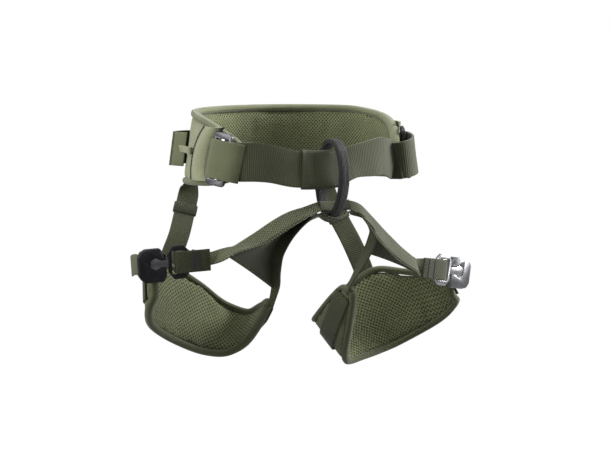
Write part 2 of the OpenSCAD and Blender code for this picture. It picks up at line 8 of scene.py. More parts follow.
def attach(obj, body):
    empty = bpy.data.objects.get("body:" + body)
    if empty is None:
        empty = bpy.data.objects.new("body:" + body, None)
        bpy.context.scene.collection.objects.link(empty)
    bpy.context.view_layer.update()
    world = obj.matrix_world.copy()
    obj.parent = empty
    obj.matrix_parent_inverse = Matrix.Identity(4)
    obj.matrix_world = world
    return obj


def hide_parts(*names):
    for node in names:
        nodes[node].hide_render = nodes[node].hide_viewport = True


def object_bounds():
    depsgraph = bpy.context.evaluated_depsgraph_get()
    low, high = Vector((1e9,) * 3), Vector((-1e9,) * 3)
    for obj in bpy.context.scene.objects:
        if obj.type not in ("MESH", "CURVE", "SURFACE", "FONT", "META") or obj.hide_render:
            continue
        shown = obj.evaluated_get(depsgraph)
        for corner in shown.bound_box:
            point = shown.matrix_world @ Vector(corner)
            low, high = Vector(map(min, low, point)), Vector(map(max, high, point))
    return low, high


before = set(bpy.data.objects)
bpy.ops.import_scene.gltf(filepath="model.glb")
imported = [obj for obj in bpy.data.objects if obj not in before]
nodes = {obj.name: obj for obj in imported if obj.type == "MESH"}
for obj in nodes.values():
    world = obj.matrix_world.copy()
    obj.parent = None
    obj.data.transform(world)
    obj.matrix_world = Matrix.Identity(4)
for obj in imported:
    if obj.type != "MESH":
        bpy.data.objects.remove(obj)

cadBox = [list(corner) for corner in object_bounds()]
mm = 0.001
print("frame loaded:", len(nodes), "nodes")

# camera and light
camera = {"place": (-1.0772, -2.0258, 0.1604), "target": (0.0085, -0.0119, -0.0938), "lens": 114.0}
light = {
    "sky": 0.24, "key": 52.0, "side": 24.0, "top": 28.0, "front": 1.5,
    "floorDrop": 0.60,  # how far the floor is below the lowest leg pad, in metres
}

bpy.ops.object.camera_add(location=camera["place"])
cam = bpy.context.object
cam.name = "camera"
cam.data.lens = camera["lens"]
cam.rotation_euler = (Vector(camera["target"]) - cam.location).to_track_quat("-Z", "Y").to_euler()
bpy.context.scene.camera = cam


def addLamp(name, place, target, size, power):
    bpy.ops.object.light_add(type="AREA", location=place)
    lamp = bpy.context.object
    lamp.name = name
    lamp.data.shape = "RECTANGLE"
    lamp.data.size, lamp.data.size_y = size
    lamp.data.energy = power
    lamp.rotation_euler = (Vector(target) - lamp.location).to_track_quat("-Z", "Y").to_euler()


addLamp("rightSoftbox", (1.5, -0.55, 0.55), (0.0, -0.05, -0.08), (0.8, 1.1), light["key"])
addLamp("leftSoftbox", (-1.6, 0.15, 0.45), (-0.05, 0.0, -0.08), (0.7, 1.1), light["side"])
addLamp("overheadSoftbox", (0.0, 0.1, 1.7), (0.0, 0.0, -0.1), (2.2, 2.2), light["top"])
addLamp("frontSoftbox", (-0.75, -1.9, 0.9), (0.0, 0.0, -0.1), (1.2, 0.9), light["front"])


# materials
def linear(code):
    # colour of an sRGB hex code as the shaders want it
    parts = [int(code[i:i + 2], 16) / 255 for i in (1, 3, 5)]
    return [p / 12.92 if p <= 0.04045 else ((p + 0.055) / 1.055) ** 2.4 for p in parts] + [1.0]


def addNode(tree, kind, inputs=None, **settings):
    node = tree.nodes.new(kind)
    for key, value in settings.items():
        setattr(node, key, value)
    for socket, value in (inputs or {}).items():
        if isinstance(value, bpy.types.NodeSocket):
            tree.links.new(value, node.inputs[socket])
        else:
            node.inputs[socket].default_value = value
    return node


def newMaterial(name):
    material = bpy.data.materials.new(name)
    material.use_nodes = True
    tree = material.node_tree
    return material, tree, tree.nodes["Principled BSDF"]


def waves(tree, coords, pitch, turn, sway):
    # parallel ridges, pitch in millimetres, turned by so many degrees on the cloth
    turned = addNode(tree, "ShaderNodeMapping", {"Vector": coords, "Rotation": (0, 0, math.radians(turn))})
    return addNode(tree, "ShaderNodeTexWave", {
        "Vector": turned.outputs[0], "Scale": 0.314159 / (pitch * mm), "Distortion": sway,
        "Detail": 1.0, "Detail Scale": 1.5}).outputs["Fac"]


def clothMaterial(name, face, shade, weave, pitch, relief=0.25, rough=0.85, sheen=0.25,
                  fleck=0.35, mottle=0.12, turn=45):
    # woven cloth: face is the lit thread, shade the gaps between threads
    material, tree, shader = newMaterial(name)
    coords = addNode(tree, "ShaderNodeUVMap").outputs[0]
    place = addNode(tree, "ShaderNodeTexCoord").outputs["Object"]
    if weave == "twill":
        height = waves(tree, coords, pitch, turn, 0.6)
    elif weave == "rib":
        height = waves(tree, coords, pitch, 0, 1.2)
    elif weave == "holes":
        turned = addNode(tree, "ShaderNodeMapping", {"Vector": coords, "Rotation": (0, 0, math.radians(45))})
        cells = addNode(tree, "ShaderNodeTexVoronoi", {
            "Vector": turned.outputs[0], "Scale": 1 / (pitch * mm), "Randomness": 0.06},
            voronoi_dimensions="2D")
        height = addNode(tree, "ShaderNodeMapRange", {
            "Value": cells.outputs["Distance"], "From Min": 0.24, "From Max": 0.4}).outputs[0]
    else:
        height = addNode(tree, "ShaderNodeMath", {
            0: waves(tree, coords, pitch, turn, 1.0), 1: waves(tree, coords, pitch, turn - 90, 1.0)},
            operation="MULTIPLY").outputs[0]
    fuzz = addNode(tree, "ShaderNodeTexNoise", {
        "Vector": place, "Scale": 700.0, "Detail": 2.0, "Roughness": 0.6}).outputs["Fac"]
    drift = addNode(tree, "ShaderNodeTexNoise", {
        "Vector": place, "Scale": 28.0, "Detail": 3.0}).outputs["Fac"]
    threads = addNode(tree, "ShaderNodeMix", {
        "Factor": height, "A": linear(shade), "B": linear(face)}, data_type="RGBA")
    flecked = addNode(tree, "ShaderNodeMix", {
        "Factor": fleck, "A": threads.outputs[2],
        "B": addNode(tree, "ShaderNodeMix", {
            "Factor": addNode(tree, "ShaderNodeMapRange", {
                "Value": fuzz, "From Min": 0.3, "From Max": 0.7}).outputs[0],
            "A": linear(shade), "B": linear(face)}, data_type="RGBA").outputs[2]}, data_type="RGBA")
    level = addNode(tree, "ShaderNodeMapRange", {
        "Value": drift, "From Min": 0.3, "From Max": 0.7, "To Min": 1 - mottle, "To Max": 1 + mottle})
    tinted = addNode(tree, "ShaderNodeVectorMath", {
        0: flecked.outputs[2], 1: level.outputs[0]}, operation="MULTIPLY")
    relieved = addNode(tree, "ShaderNodeMath", {
        0: fuzz, 1: 0.35, 2: height}, operation="MULTIPLY_ADD").outputs[0]
    bump = addNode(tree, "ShaderNodeBump", {
        "Height": relieved, "Distance": relief * mm, "Strength": 1.0})
    tree.links.new(tinted.outputs[0], shader.inputs["Base Color"])
    tree.links.new(bump.outputs[0], shader.inputs["Normal"])
    shader.inputs["Roughness"].default_value = rough
    shader.inputs["Sheen Weight"].default_value = sheen
    shader.inputs["Sheen Roughness"].default_value = 0.45
    return material


def metalMaterial(name, colour, worn, rough, metallic, grain):
    # grain is the size in millimetres of the fine surface marks
    material, tree, shader = newMaterial(name)
    place = addNode(tree, "ShaderNodeTexCoord").outputs["Object"]
    marks = addNode(tree, "ShaderNodeTexNoise", {
        "Vector": place, "Scale": 1 / (grain * mm), "Detail": 4.0, "Roughness": 0.65}).outputs["Fac"]
    clouds = addNode(tree, "ShaderNodeTexNoise", {
        "Vector": place, "Scale": 120.0, "Detail": 2.0}).outputs["Fac"]
    tint = addNode(tree, "ShaderNodeMix", {
        "Factor": addNode(tree, "ShaderNodeMapRange", {
            "Value": clouds, "From Min": 0.45, "From Max": 0.75}).outputs[0],
        "A": linear(colour), "B": linear(worn)}, data_type="RGBA")
    gloss = addNode(tree, "ShaderNodeMapRange", {
        "Value": marks, "From Min": 0.3, "From Max": 0.7, "To Min": rough - 0.07, "To Max": rough + 0.09})
    bump = addNode(tree, "ShaderNodeBump", {"Height": marks, "Distance": 0.03 * mm, "Strength": 0.5})
    tree.links.new(tint.outputs[2], shader.inputs["Base Color"])
    tree.links.new(gloss.outputs[0], shader.inputs["Roughness"])
    tree.links.new(bump.outputs[0], shader.inputs["Normal"])
    shader.inputs["Metallic"].default_value = metallic
    return material


# pale dry pack cloth with a fine checked weave, the lightest cloth on the pad and slot panels
canvas = clothMaterial("packCloth", "#A0A385", "#7B7E60", "pebble", 2.2, 0.22)
# soft olive knit with rows of small dark holes, lining the waist pad
spacerMesh = clothMaterial("spacerMesh", "#858A62", "#1E210F", "holes", 3.2, 0.5, sheen=0.15, fleck=0.25)
# the same knit a little darker and larger, lining the leg pads
legMesh = clothMaterial("legSpacerMesh", "#757A54", "#1E210F", "holes", 3.7, 0.5, sheen=0.15, fleck=0.25)
# light ribbed binding tape with a dull face, rolled over the waist rim
tape = clothMaterial("grosgrainTape", "#777B5C", "#5E6146", "rib", 2.2, 0.15)
# darker ribbed binding tape round the leg pads
legTape = clothMaterial("legGrosgrain", "#5B5F40", "#41452D", "rib", 2.2, 0.15)
# mid olive pack cloth on the outside of the leg pads
legCloth = clothMaterial("legPackCloth", "#6F7350", "#525639", "pebble", 2.4, 0.22)
# dark thick webbing with upright ribs that break the light into fine lines
beltWeb = clothMaterial("ribbedWebbing", "#4E523A", "#33361F", "rib", 2.4, 0.2, fleck=0.25)
# dark webbing with slanting ridges, on the elevators and the outer leg webs
legWeb = clothMaterial("twillWebbing", "#494D32", "#2D301C", "twill", 2.4, 0.25, fleck=0.3)
# lighter webbing with a crossed pebbled weave that shows dark gaps
pebbleWeb = clothMaterial("pebbleWebbing", "#7C805A", "#23260F", "pebble", 2.6, 0.35, fleck=0.15)
# close coated cloth, nearly smooth, with a faint soft shine
smoothCloth = clothMaterial("coatedCloth", "#43472D", "#383B25", "pebble", 1.6, relief=0.05, rough=0.5,
                            sheen=0.08, fleck=0.2)
# paler close-ribbed webbing: painted light where the belt is folded back, a lighter copy of the belt's own
# webbing where it is lit, and the gear loops' own paler webbing
paleWebAndPaintedLight = clothMaterial("paleWebbingAndPaintedLight", "#6C7051", "#55593D", "rib", 1.4, 0.1, fleck=0.2)
# near black load webbing with a fine slanting ridge
loopWeb = clothMaterial("blackWebbing", "#141416", "#070708", "twill", 2.0, relief=0.3, rough=0.7, sheen=0.1,
                        fleck=0.15, mottle=0.05, turn=90)
# flat black cloth: painted shade inside the slots and under the gear loops, and the black band down the
# outside of each gear loop
blackBandAndShade = clothMaterial("blackBandAndPaintedShade", "#1C1D1A", "#0E0F0D", "pebble", 2.0, 0.1, 0.9, 0.05)
# dark elastic with raised ribs round the keepers
elastic = clothMaterial("ribbedElastic", "#3D412A", "#292C1A", "rib", 2.4, 0.3)
# light thread that stands out against the cloth
thread = clothMaterial("sewingThread", "#8A8E6A", "#5F6346", "twill", 1.2, 0.05)
# dark thread that reads as a sunken seam line
darkThread = clothMaterial("darkThread", "#2C2F1C", "#1E2012", "twill", 1.2, 0.05)
# smooth grey printed stripe, a little shinier than the webbing
stripeRubber = clothMaterial("printedRubber", "#3C3A40", "#2C2A30", "pebble", 1.8, 0.1, 0.6, 0.0)
# near black anodised alloy with soft broad highlights
anodised = metalMaterial("darkAnodisedAlloy", "#2B2B2E", "#343437", 0.36, 0.6, 0.5)
# pale bead-blasted alloy, painted light: a lighter copy of the dark anodised alloy, its pale colour standing
# in for the right softbox's reflection on the buckle that faces it, with clouded satin highlights
paintedLitAlloy = metalMaterial("paintedLitAlloy", "#8F9093", "#9A9B9E", 0.33, 0.9, 0.4)
# dark grey alloy with worn lighter patches
greyAlloy = metalMaterial("greyAlloy", "#4A4A4D", "#5A5A5D", 0.38, 0.8, 0.4)
# mid grey bare alloy on the dark stud's head
bareAlloy = metalMaterial("bareAlloy", "#77777A", "#8A8A8D", 0.3, 0.85, 0.4)
# near white polished alloy, painted highlight: a bright copy of the dark anodised alloy, its colour standing
# in for the softboxes' reflection on the stud frame of the buckle that faces them
paintedGlintAlloy = metalMaterial("paintedGlintAlloy", "#C8C8CB", "#D6D6D8", 0.28, 0.9, 0.4)
# bright ground steel pin with a sharp narrow highlight
groundSteel = metalMaterial("groundSteel", "#A8A8AB", "#B4B4B6", 0.25, 1.0, 0.3)
print("materials made")


# curve helpers, all in millimetres until the mesh is laid
def unit(v):
    v = np.asarray(v, float)
    return v / np.maximum(np.linalg.norm(v, axis=-1, keepdims=True), 1e-9)


def smoothPath(keys, steps):
    keys = np.array(keys, float)
    if keys.ndim == 1:
        keys = keys[:, None]
    last = len(keys) - 1
    out = []
    for i in range(last):
        a, b, c, d = keys[max(i - 1, 0)], keys[i], keys[i + 1], keys[min(i + 2, last)]
        for k in range(steps):
            t = k / steps
            out.append(0.5 * (2 * b + (c - a) * t + (2 * a - 5 * b + 4 * c - d) * t * t
                              + (3 * b - a - 3 * c + d) * t ** 3))
    out.append(keys[last])
    return np.array(out)


def tangents(path):
    ahead = np.vstack([path[1:], path[-1:]])
    behind = np.vstack([path[:1], path[:-1]])
    return unit(ahead - behind)


def ringTangents(path):
    return unit(np.roll(path, -1, 0) - np.roll(path, 1, 0))


def across(path, widths):
    along = tangents(path)
    side = unit(widths - along * np.sum(widths * along, 1, keepdims=True))
    return side, np.cross(along, side)


def arcLength(path):
    return np.concatenate([[0], np.cumsum(np.linalg.norm(np.diff(path, axis=0), axis=1))])


def stripNormal(edgeA, edgeB):
    return unit(np.cross(tangents((edgeA + edgeB) / 2), edgeB - edgeA))


# mesh helpers
def only(obj):
    bpy.ops.object.select_all(action="DESELECT")
    obj.select_set(True)
    bpy.context.view_layer.objects.active = obj


def applyModifier(obj, kind, **settings):
    only(obj)
    modifier = obj.modifiers.new(kind.lower(), kind)
    for key, value in settings.items():
        setattr(modifier, key, value)
    bpy.ops.object.modifier_apply(modifier=modifier.name)


def layGrid(name, points, uv):
    # a grid primitive whose points are then laid on the given surface; points in mm
    rows, cols = points.shape[:2]
    bpy.ops.object.select_all(action="DESELECT")
    bpy.ops.mesh.primitive_grid_add(x_subdivisions=cols - 1, y_subdivisions=rows - 1, size=1)
    obj = bpy.context.object
    obj.name = obj.data.name = name
    mesh = obj.data
    flat = np.empty(len(mesh.vertices) * 3)
    mesh.vertices.foreach_get("co", flat)
    flat = flat.reshape(-1, 3)
    col = np.rint((flat[:, 0] + 0.5) * (cols - 1)).astype(int)
    row = np.rint((flat[:, 1] + 0.5) * (rows - 1)).astype(int)
    mesh.vertices.foreach_set("co", (points[row, col] * mm).ravel())
    corner = np.empty(len(mesh.loops), int)
    mesh.loops.foreach_get("vertex_index", corner)
    mesh.uv_layers.active.data.foreach_set("uv", (uv[row, col] * mm)[corner].ravel())
    mesh.update()
    return obj


def closeMesh(obj, gap=0.02):
    only(obj)
    bpy.ops.object.mode_set(mode="EDIT")
    bpy.ops.mesh.select_all(action="SELECT")
    bpy.ops.mesh.remove_doubles(threshold=gap * mm)
    bpy.ops.mesh.normals_make_consistent(inside=False)
    bpy.ops.object.mode_set(mode="OBJECT")


def finishPiece(obj, materials, body="harness", cad=(), angle=50):
    only(obj)
    if not obj.data.materials:
        for material in materials if isinstance(materials, (list, tuple)) else [materials]:
            obj.data.materials.append(material)
    bpy.ops.object.shade_smooth_by_angle(angle=math.radians(angle))
    if cad:
        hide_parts(*cad)
    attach(obj, body)
    return obj


def makeStrap(name, path, widths, width, thick, cols=9, crown=0.0, wave=0.0, edge=0.5):
    # flat webbing along a path: width directions, width and thickness in mm
    side, up = across(path, widths)
    width = np.broadcast_to(np.asarray(width, float).reshape(-1, 1), (len(path), 1))
    t = np.linspace(-0.5, 0.5, cols)
    along = arcLength(path)
    ripple = wave * np.sin(along / 9.0)[:, None] * np.sin(t * 5 + along[:, None] / 23)
    lift = crown * (1 - 4 * t ** 2)[None, :] + ripple
    points = path[:, None] + side[:, None] * (width * t)[:, :, None] + up[:, None] * lift[:, :, None]
    uv = np.stack([np.broadcast_to(along[:, None], points.shape[:2]), width * t], 2)
    obj = layGrid(name, points, uv)
    applyModifier(obj, "SOLIDIFY", thickness=thick * mm, offset=0.0, use_even_offset=False)
    closeMesh(obj, 0.001)
    applyModifier(obj, "BEVEL", width=edge * mm, segments=2, limit_method="ANGLE",
                  angle_limit=math.radians(50))
    return obj


def makeTube(name, centres, outs, ups, section, closedPath):
    # a closed section carried along a path; section is (out, up) pairs in mm
    section = np.array(list(section) + [section[0]], float)
    if closedPath:
        centres, outs, ups = (np.vstack([a, a[:1]]) for a in (centres, outs, ups))
    along = arcLength(centres)
    points = centres[:, None] + outs[:, None] * section[None, :, :1] + ups[:, None] * section[None, :, 1:]
    girth = arcLength(section)
    uv = np.stack(np.meshgrid(along, girth, indexing="ij"), 2)
    obj = layGrid(name, points, uv)
    if not closedPath:
        closeMesh(obj)
        only(obj)
        bpy.ops.object.mode_set(mode="EDIT")
        bpy.ops.mesh.select_all(action="DESELECT")
        bpy.ops.mesh.select_non_manifold()
        bpy.ops.mesh.fill_holes(sides=0)
        bpy.ops.object.mode_set(mode="OBJECT")
    closeMesh(obj)
    return obj


def roundedSection(width, thick, crown=0.0, steps=3, corner=None):
    # rounded bar section, in (out, up) pairs, going round once
    corner = min(width, thick) / 2 * 0.98 if corner is None else corner
    out = []
    for cx, cy, start in ((1, 1, 0), (-1, 1, 90), (-1, -1, 180), (1, -1, 270)):
        for k in range(steps + 1):
            a = math.radians(start + 90 * k / steps)
            out.append((cx * (width / 2 - corner) + corner * math.cos(a),
                        cy * (thick / 2 - corner) + corner * math.sin(a)))
        if start == 0 and crown:
            out.append((0, thick / 2 + crown))
    return out


def sew(name, points, alongs, ups, material, length=2.6, thick=0.75, pitch=3.6, zig=0.0, body="harness"):
    # a row of stitches at an even pitch; zig turns each one left and right in degrees
    distance = arcLength(points)
    count = max(2, int(distance[-1] / pitch))
    stops = (np.arange(count) + 0.5) * distance[-1] / count
    place = np.stack([np.interp(stops, distance, points[:, k]) for k in range(3)], 1)
    along = unit(np.stack([np.interp(stops, distance, alongs[:, k]) for k in range(3)], 1))
    up = unit(np.stack([np.interp(stops, distance, ups[:, k]) for k in range(3)], 1))
    side = unit(np.cross(up, along))
    bpy.ops.object.select_all(action="DESELECT")
    bpy.ops.mesh.primitive_uv_sphere_add(segments=6, ring_count=4, radius=0.5)
    one = bpy.context.object
    for vertex in one.data.vertices:
        vertex.co = (vertex.co.z * length * mm, vertex.co.x * thick * mm, vertex.co.y * thick * 0.8 * mm)
    made = []
    for i in range(count):
        turn = math.radians(zig if i % 2 else -zig)
        a = along[i] * math.cos(turn) + side[i] * math.sin(turn)
        b = np.cross(up[i], a)
        copy = one.copy()
        copy.data = one.data.copy()
        turned = Matrix((a, b, up[i])).transposed().to_4x4()
        copy.data.transform(Matrix.Translation(Vector(place[i] * mm)) @ turned)
        bpy.context.collection.objects.link(copy)
        made.append(copy)
    bpy.data.objects.remove(one)
    bpy.ops.object.select_all(action="DESELECT")
    for copy in made:
        copy.select_set(True)
    bpy.context.view_layer.objects.active = made[0]
    bpy.ops.object.join()
    obj = bpy.context.object
    obj.name = obj.data.name = name
    return finishPiece(obj, material, body, angle=80)


def sewAlong(name, path, widths, offset, height, material, **settings):
    side, up = across(path, widths)
    points = path + side * np.asarray(offset, float).reshape(-1, 1) + up * height
    return sew(name, points, tangents(path), up, material, **settings)


# padded pieces
puff = {"voxel": 0.0045, "pressure": 4.0, "frames": 20}


def puffPad(name, edgeA, edgeB, thick, cap):
    # slab between two edges, swelled as cloth round foam, then smoothed once
    cols = 12
    t = np.linspace(0, 1, cols)[None, :, None]
    points = edgeA[:, None] * (1 - t) + edgeB[:, None] * t
    obj = layGrid(name, points, np.zeros(points.shape[:2] + (2,)))
    applyModifier(obj, "SOLIDIFY", thickness=thick * mm, offset=0.0)
    closeMesh(obj, 0.001)
    applyModifier(obj, "REMESH", mode="VOXEL", voxel_size=puff["voxel"])
    scene = bpy.context.scene
    cloth = obj.modifiers.new("swell", "CLOTH")
    cloth.settings.use_pressure = True
    cloth.settings.uniform_pressure_force = puff["pressure"]
    cloth.settings.quality = 4
    cloth.settings.mass = 0.25
    cloth.settings.tension_stiffness = 25
    cloth.settings.compression_stiffness = 25
    cloth.settings.bending_stiffness = 1.5
    cloth.settings.effector_weights.gravity = 0
    cloth.collision_settings.use_collision = False
    cloth.point_cache.frame_end = puff["frames"]
    start = np.empty(len(obj.data.vertices) * 3)
    obj.data.vertices.foreach_get("co", start)
    for step in range(1, puff["frames"] + 1):
        scene.frame_set(step)
    swelled = obj.evaluated_get(bpy.context.evaluated_depsgraph_get()).to_mesh()
    end = np.empty(len(swelled.vertices) * 3)
    swelled.vertices.foreach_get("co", end)
    obj.modifiers.remove(cloth)
    scene.frame_set(1)
    move = (end - start).reshape(-1, 3)
    far = np.linalg.norm(move, axis=1, keepdims=True)
    move *= np.minimum(1, cap * mm / np.maximum(far, 1e-9))
    obj.data.vertices.foreach_set("co", (start.reshape(-1, 3) + move).ravel())
    obj.data.update()
    applyModifier(obj, "SMOOTH", factor=0.5, iterations=4)
    applyModifier(obj, "SUBSURF", levels=1, render_levels=1)
    return obj


def paintSides(obj, edgeA, edgeB, inner, outer):
    # cloth coordinates from the strip's own middle line, and inner or outer face by normal
    mesh = obj.data
    middle = (edgeA + edgeB) / 2 * mm
    wide = unit(edgeB - edgeA)
    normal = stripNormal(edgeA, edgeB)
    along = arcLength(middle / mm)
    co = np.empty(len(mesh.vertices) * 3)
    mesh.vertices.foreach_get("co", co)
    co = co.reshape(-1, 3)
    nearest = np.concatenate([np.argmin(((co[i:i + 4000, None] - middle[None]) ** 2).sum(2), 1)
                              for i in range(0, len(co), 4000)])
    offset = (co - middle[nearest]) / mm
    ahead = tangents(middle)[nearest]
    u = along[nearest] + (offset * ahead).sum(1)
    v = (offset * wide[nearest]).sum(1)
    corner = np.empty(len(mesh.loops), int)
    mesh.loops.foreach_get("vertex_index", corner)
    layer = mesh.uv_layers.active or mesh.uv_layers.new(name="clothCoords")
    layer.data.foreach_set("uv", (np.stack([u, v], 1) * mm)[corner].ravel())
    mesh.materials.append(inner)
    mesh.materials.append(outer)
    facing = np.empty(len(mesh.polygons) * 3)
    mesh.polygons.foreach_get("normal", facing)
    first = np.empty(len(mesh.polygons), int)
    mesh.polygons.foreach_get("loop_start", first)
    outward = (facing.reshape(-1, 3) * normal[nearest[corner[first]]]).sum(1) > 0
    mesh.polygons.foreach_set("material_index", outward.astype(int))
    mesh.update()


def outlineOf(edgeA, edgeB, spacing=3.0, passes=3):
    # closed outline of a strip at an even spacing with eased corners, with its normals
    normal = stripNormal(edgeA, edgeB)
    loop = np.vstack([edgeA, edgeB[::-1], edgeA[:1]])
    face = np.vstack([normal, normal[::-1], normal[:1]])
    distance = arcLength(loop)
    stops = np.arange(0, distance[-1] - spacing / 2, spacing)
    path = np.stack([np.interp(stops, distance, loop[:, k]) for k in range(3)], 1)
    face = np.stack([np.interp(stops, distance, face[:, k]) for k in range(3)], 1)
    for _ in range(passes):
        path = (np.roll(path, 1, 0) + 2 * path + np.roll(path, -1, 0)) / 4
        face = (np.roll(face, 1, 0) + 2 * face + np.roll(face, -1, 0)) / 4
    face = unit(face)
    return path, unit(np.cross(ringTangents(path), face)), face


def bindEdge(name, edgeA, edgeB, half, width, material, cad, passes=3):
    # tape folded over the pad's edge, with a welt line where it meets the pad
    path, out, face = outlineOf(edgeA, edgeB, passes=passes)
    nose = [(-3.2, half - 2.6), (-1.0, half - 0.3), (-0.6, half + 0.35), (1.2, half + 0.5),
            (width * 0.62, half + 0.15), (width * 0.9, half * 0.55), (width * 1.0, 0.0)]
    section = nose + [(o, -n) for o, n in nose[-2::-1]]
    obj = makeTube(name, path, out, face, section, True)
    return finishPiece(obj, material, cad=cad, angle=70), path, out, face


# waist pad
waist = {"wide": 246, "deep": 230, "high": 89, "endHigh": 38, "lean": 6, "thick": 11, "wrap": 126,
         "tape": 5, "core": 8.4, "swell": 1.7}


def leanAt(v):
    return -waist["lean"] * v / 45


def waistPoint(f, v, d):
    f = np.radians(f)
    return np.stack([(waist["wide"] / 2 + leanAt(v) + d) * np.sin(f),
                     (waist["deep"] / 2 + leanAt(v) + d) * np.cos(f),
                     np.broadcast_to(v, np.shape(f)) * 1.0], -1)


def waistEdge(f, top):
    q, h, wrap = np.abs(f), waist["high"] / 2, waist["wrap"]
    end = waist["endHigh"] / 2
    hi = np.interp(q, [0, 64, 90, 104, 116, wrap], [h + 0.5, h, h - 6, h - 13, h - 24, end - 8])
    lo = np.interp(q, [0, 64, 104, 116, wrap], [-h, -h, -h + 4, -h + 8, -end - 9])
    left = wrap - q
    closing = np.where(left >= 5, 1, 0.55 + 0.45 * np.sqrt(np.maximum(0, 1 - (1 - left / 5) ** 2)))
    middle, reach = (hi + lo) / 2, (hi - lo) / 2 * closing
    return middle + reach if top else middle - reach


halfPad = waist["thick"] / 2
endAngles = np.array([121, 123.4, 125, waist["wrap"]])
padAngles = np.concatenate([-endAngles[::-1], np.linspace(-118.5, 118.5, 95), endAngles])


def easeEdge(values, passes=6):
    for _ in range(passes):
        values[1:-1] = (values[:-2] + 2 * values[1:-1] + values[2:]) / 4
    return values


topHeights = easeEdge(waistEdge(padAngles, True))
lowHeights = easeEdge(waistEdge(padAngles, False))
waistTop = np.array([waistPoint(f, v, 0) for f, v in zip(padAngles, topHeights)])
waistLow = np.array([waistPoint(f, v, 0) for f, v in zip(padAngles, lowHeights)])
inset = waist["tape"] + 0.2
innerTop = waistTop + unit(waistLow - waistTop) * inset
innerLow = waistLow + unit(waistTop - waistLow) * inset

pad = puffPad("waistPad", innerTop, innerLow, waist["core"], waist["swell"])
paintSides(pad, innerTop, innerLow, spacerMesh, canvas)
finishPiece(pad, [], cad=("waist_shell", "waist_foam", "waist_mesh", "waist_load_web"))
_, rim, rimOut, rimFace = bindEdge("waistBinding", innerTop, innerLow, halfPad - 0.2, waist["tape"], tape,
                                   ("waist_binding",))
ringAlong = ringTangents(rim)
for name, side, look in (("outer", 1, thread), ("inner", -1, darkThread)):
    line = rim + rimOut * 0.6 + rimFace * side * (halfPad + 0.25)
    sew("waistBindingStitch_" + name, line, ringAlong, rimFace * side, look, length=2.4, thick=0.6, pitch=3.4)
print("waist pad made")


# hip fittings
# an arch is its rear and front angle, its foot and top height, how high it stands and its thickness;
# the slot panel's rear and front edges curve forward towards the top, in degrees for each height
hip = {
    "gear": (52, 72, -22, 18, 15, 1.8), "gearShadeArch": (54, 70, -21.5, 17.5, 12.6, 1.2),
    "slotHeights": [-34, -22, -8, 4, 14, 22, 28],
    "slotRear": [90, 87.6, 88, 89.6, 92.5, 95.8, 98.5],
    "slotFront": [105.8, 103, 103.4, 104.8, 106.8, 110, 113],
    "slotThick": 1.6, "slotStand": 5.2, "tabWide": 8, "tabThick": 1.3, "tabHeight": -1.5,
}


def gridCloth(along, v, shape):
    # cloth coordinates of a grid: distance along each column, height up each row
    return np.stack([np.broadcast_to(along[:, None], shape), np.broadcast_to(v[None], shape)], 2)


def hipArch(name, s, spec, steps, cols):
    f0, f1, v0, v1, high, thick = spec
    q = np.linspace(0, 1, steps)
    lift = halfPad + 1.2 + thick / 2 + high * np.sin(np.pi * q)
    v = np.linspace(v0, v1, cols)
    points = np.stack([waistPoint(s * (f0 + (f1 - f0) * q), height, lift) for height in v], 1)
    obj = layGrid(name, points, gridCloth(arcLength(points[:, cols // 2]), v, points.shape[:2]))
    applyModifier(obj, "SOLIDIFY", thickness=thick * mm, offset=0.0)
    closeMesh(obj, 0.001)
    applyModifier(obj, "BEVEL", width=0.5 * mm, segments=2, limit_method="ANGLE",
                  angle_limit=math.radians(50))
    return obj, points


def slotPanel(s, name):
    q = np.linspace(0, 1, 19)
    heights = hip["slotHeights"]
    v = np.linspace(heights[0], heights[-1], 23)
    rear = np.interp(v, heights, easeEdge(smoothPath(hip["slotRear"], 1)[:, 0], 1))
    front = np.interp(v, heights, easeEdge(smoothPath(hip["slotFront"], 1)[:, 0], 1))
    lift = halfPad + 0.9 + hip["slotStand"] * np.sin(np.pi * q ** 1.55) ** 0.8
    rows = [waistPoint(s * (rear[i] + (front[i] - rear[i]) * q), v[i], lift) for i in range(len(v))]
    points = np.stack(rows, 1)
    obj = layGrid(name, points, gridCloth(arcLength(points[:, 11]), v, points.shape[:2]))
    applyModifier(obj, "SOLIDIFY", thickness=hip["slotThick"] * mm, offset=0.0)
    closeMesh(obj, 0.001)
    slits = [np.array([waistPoint(s * (f[i] + turn), v[i], halfPad + 1.2) for i in range(len(v))])
             for f, turn in ((rear, -0.9), (front, 0.8))]
    return obj, points, slits


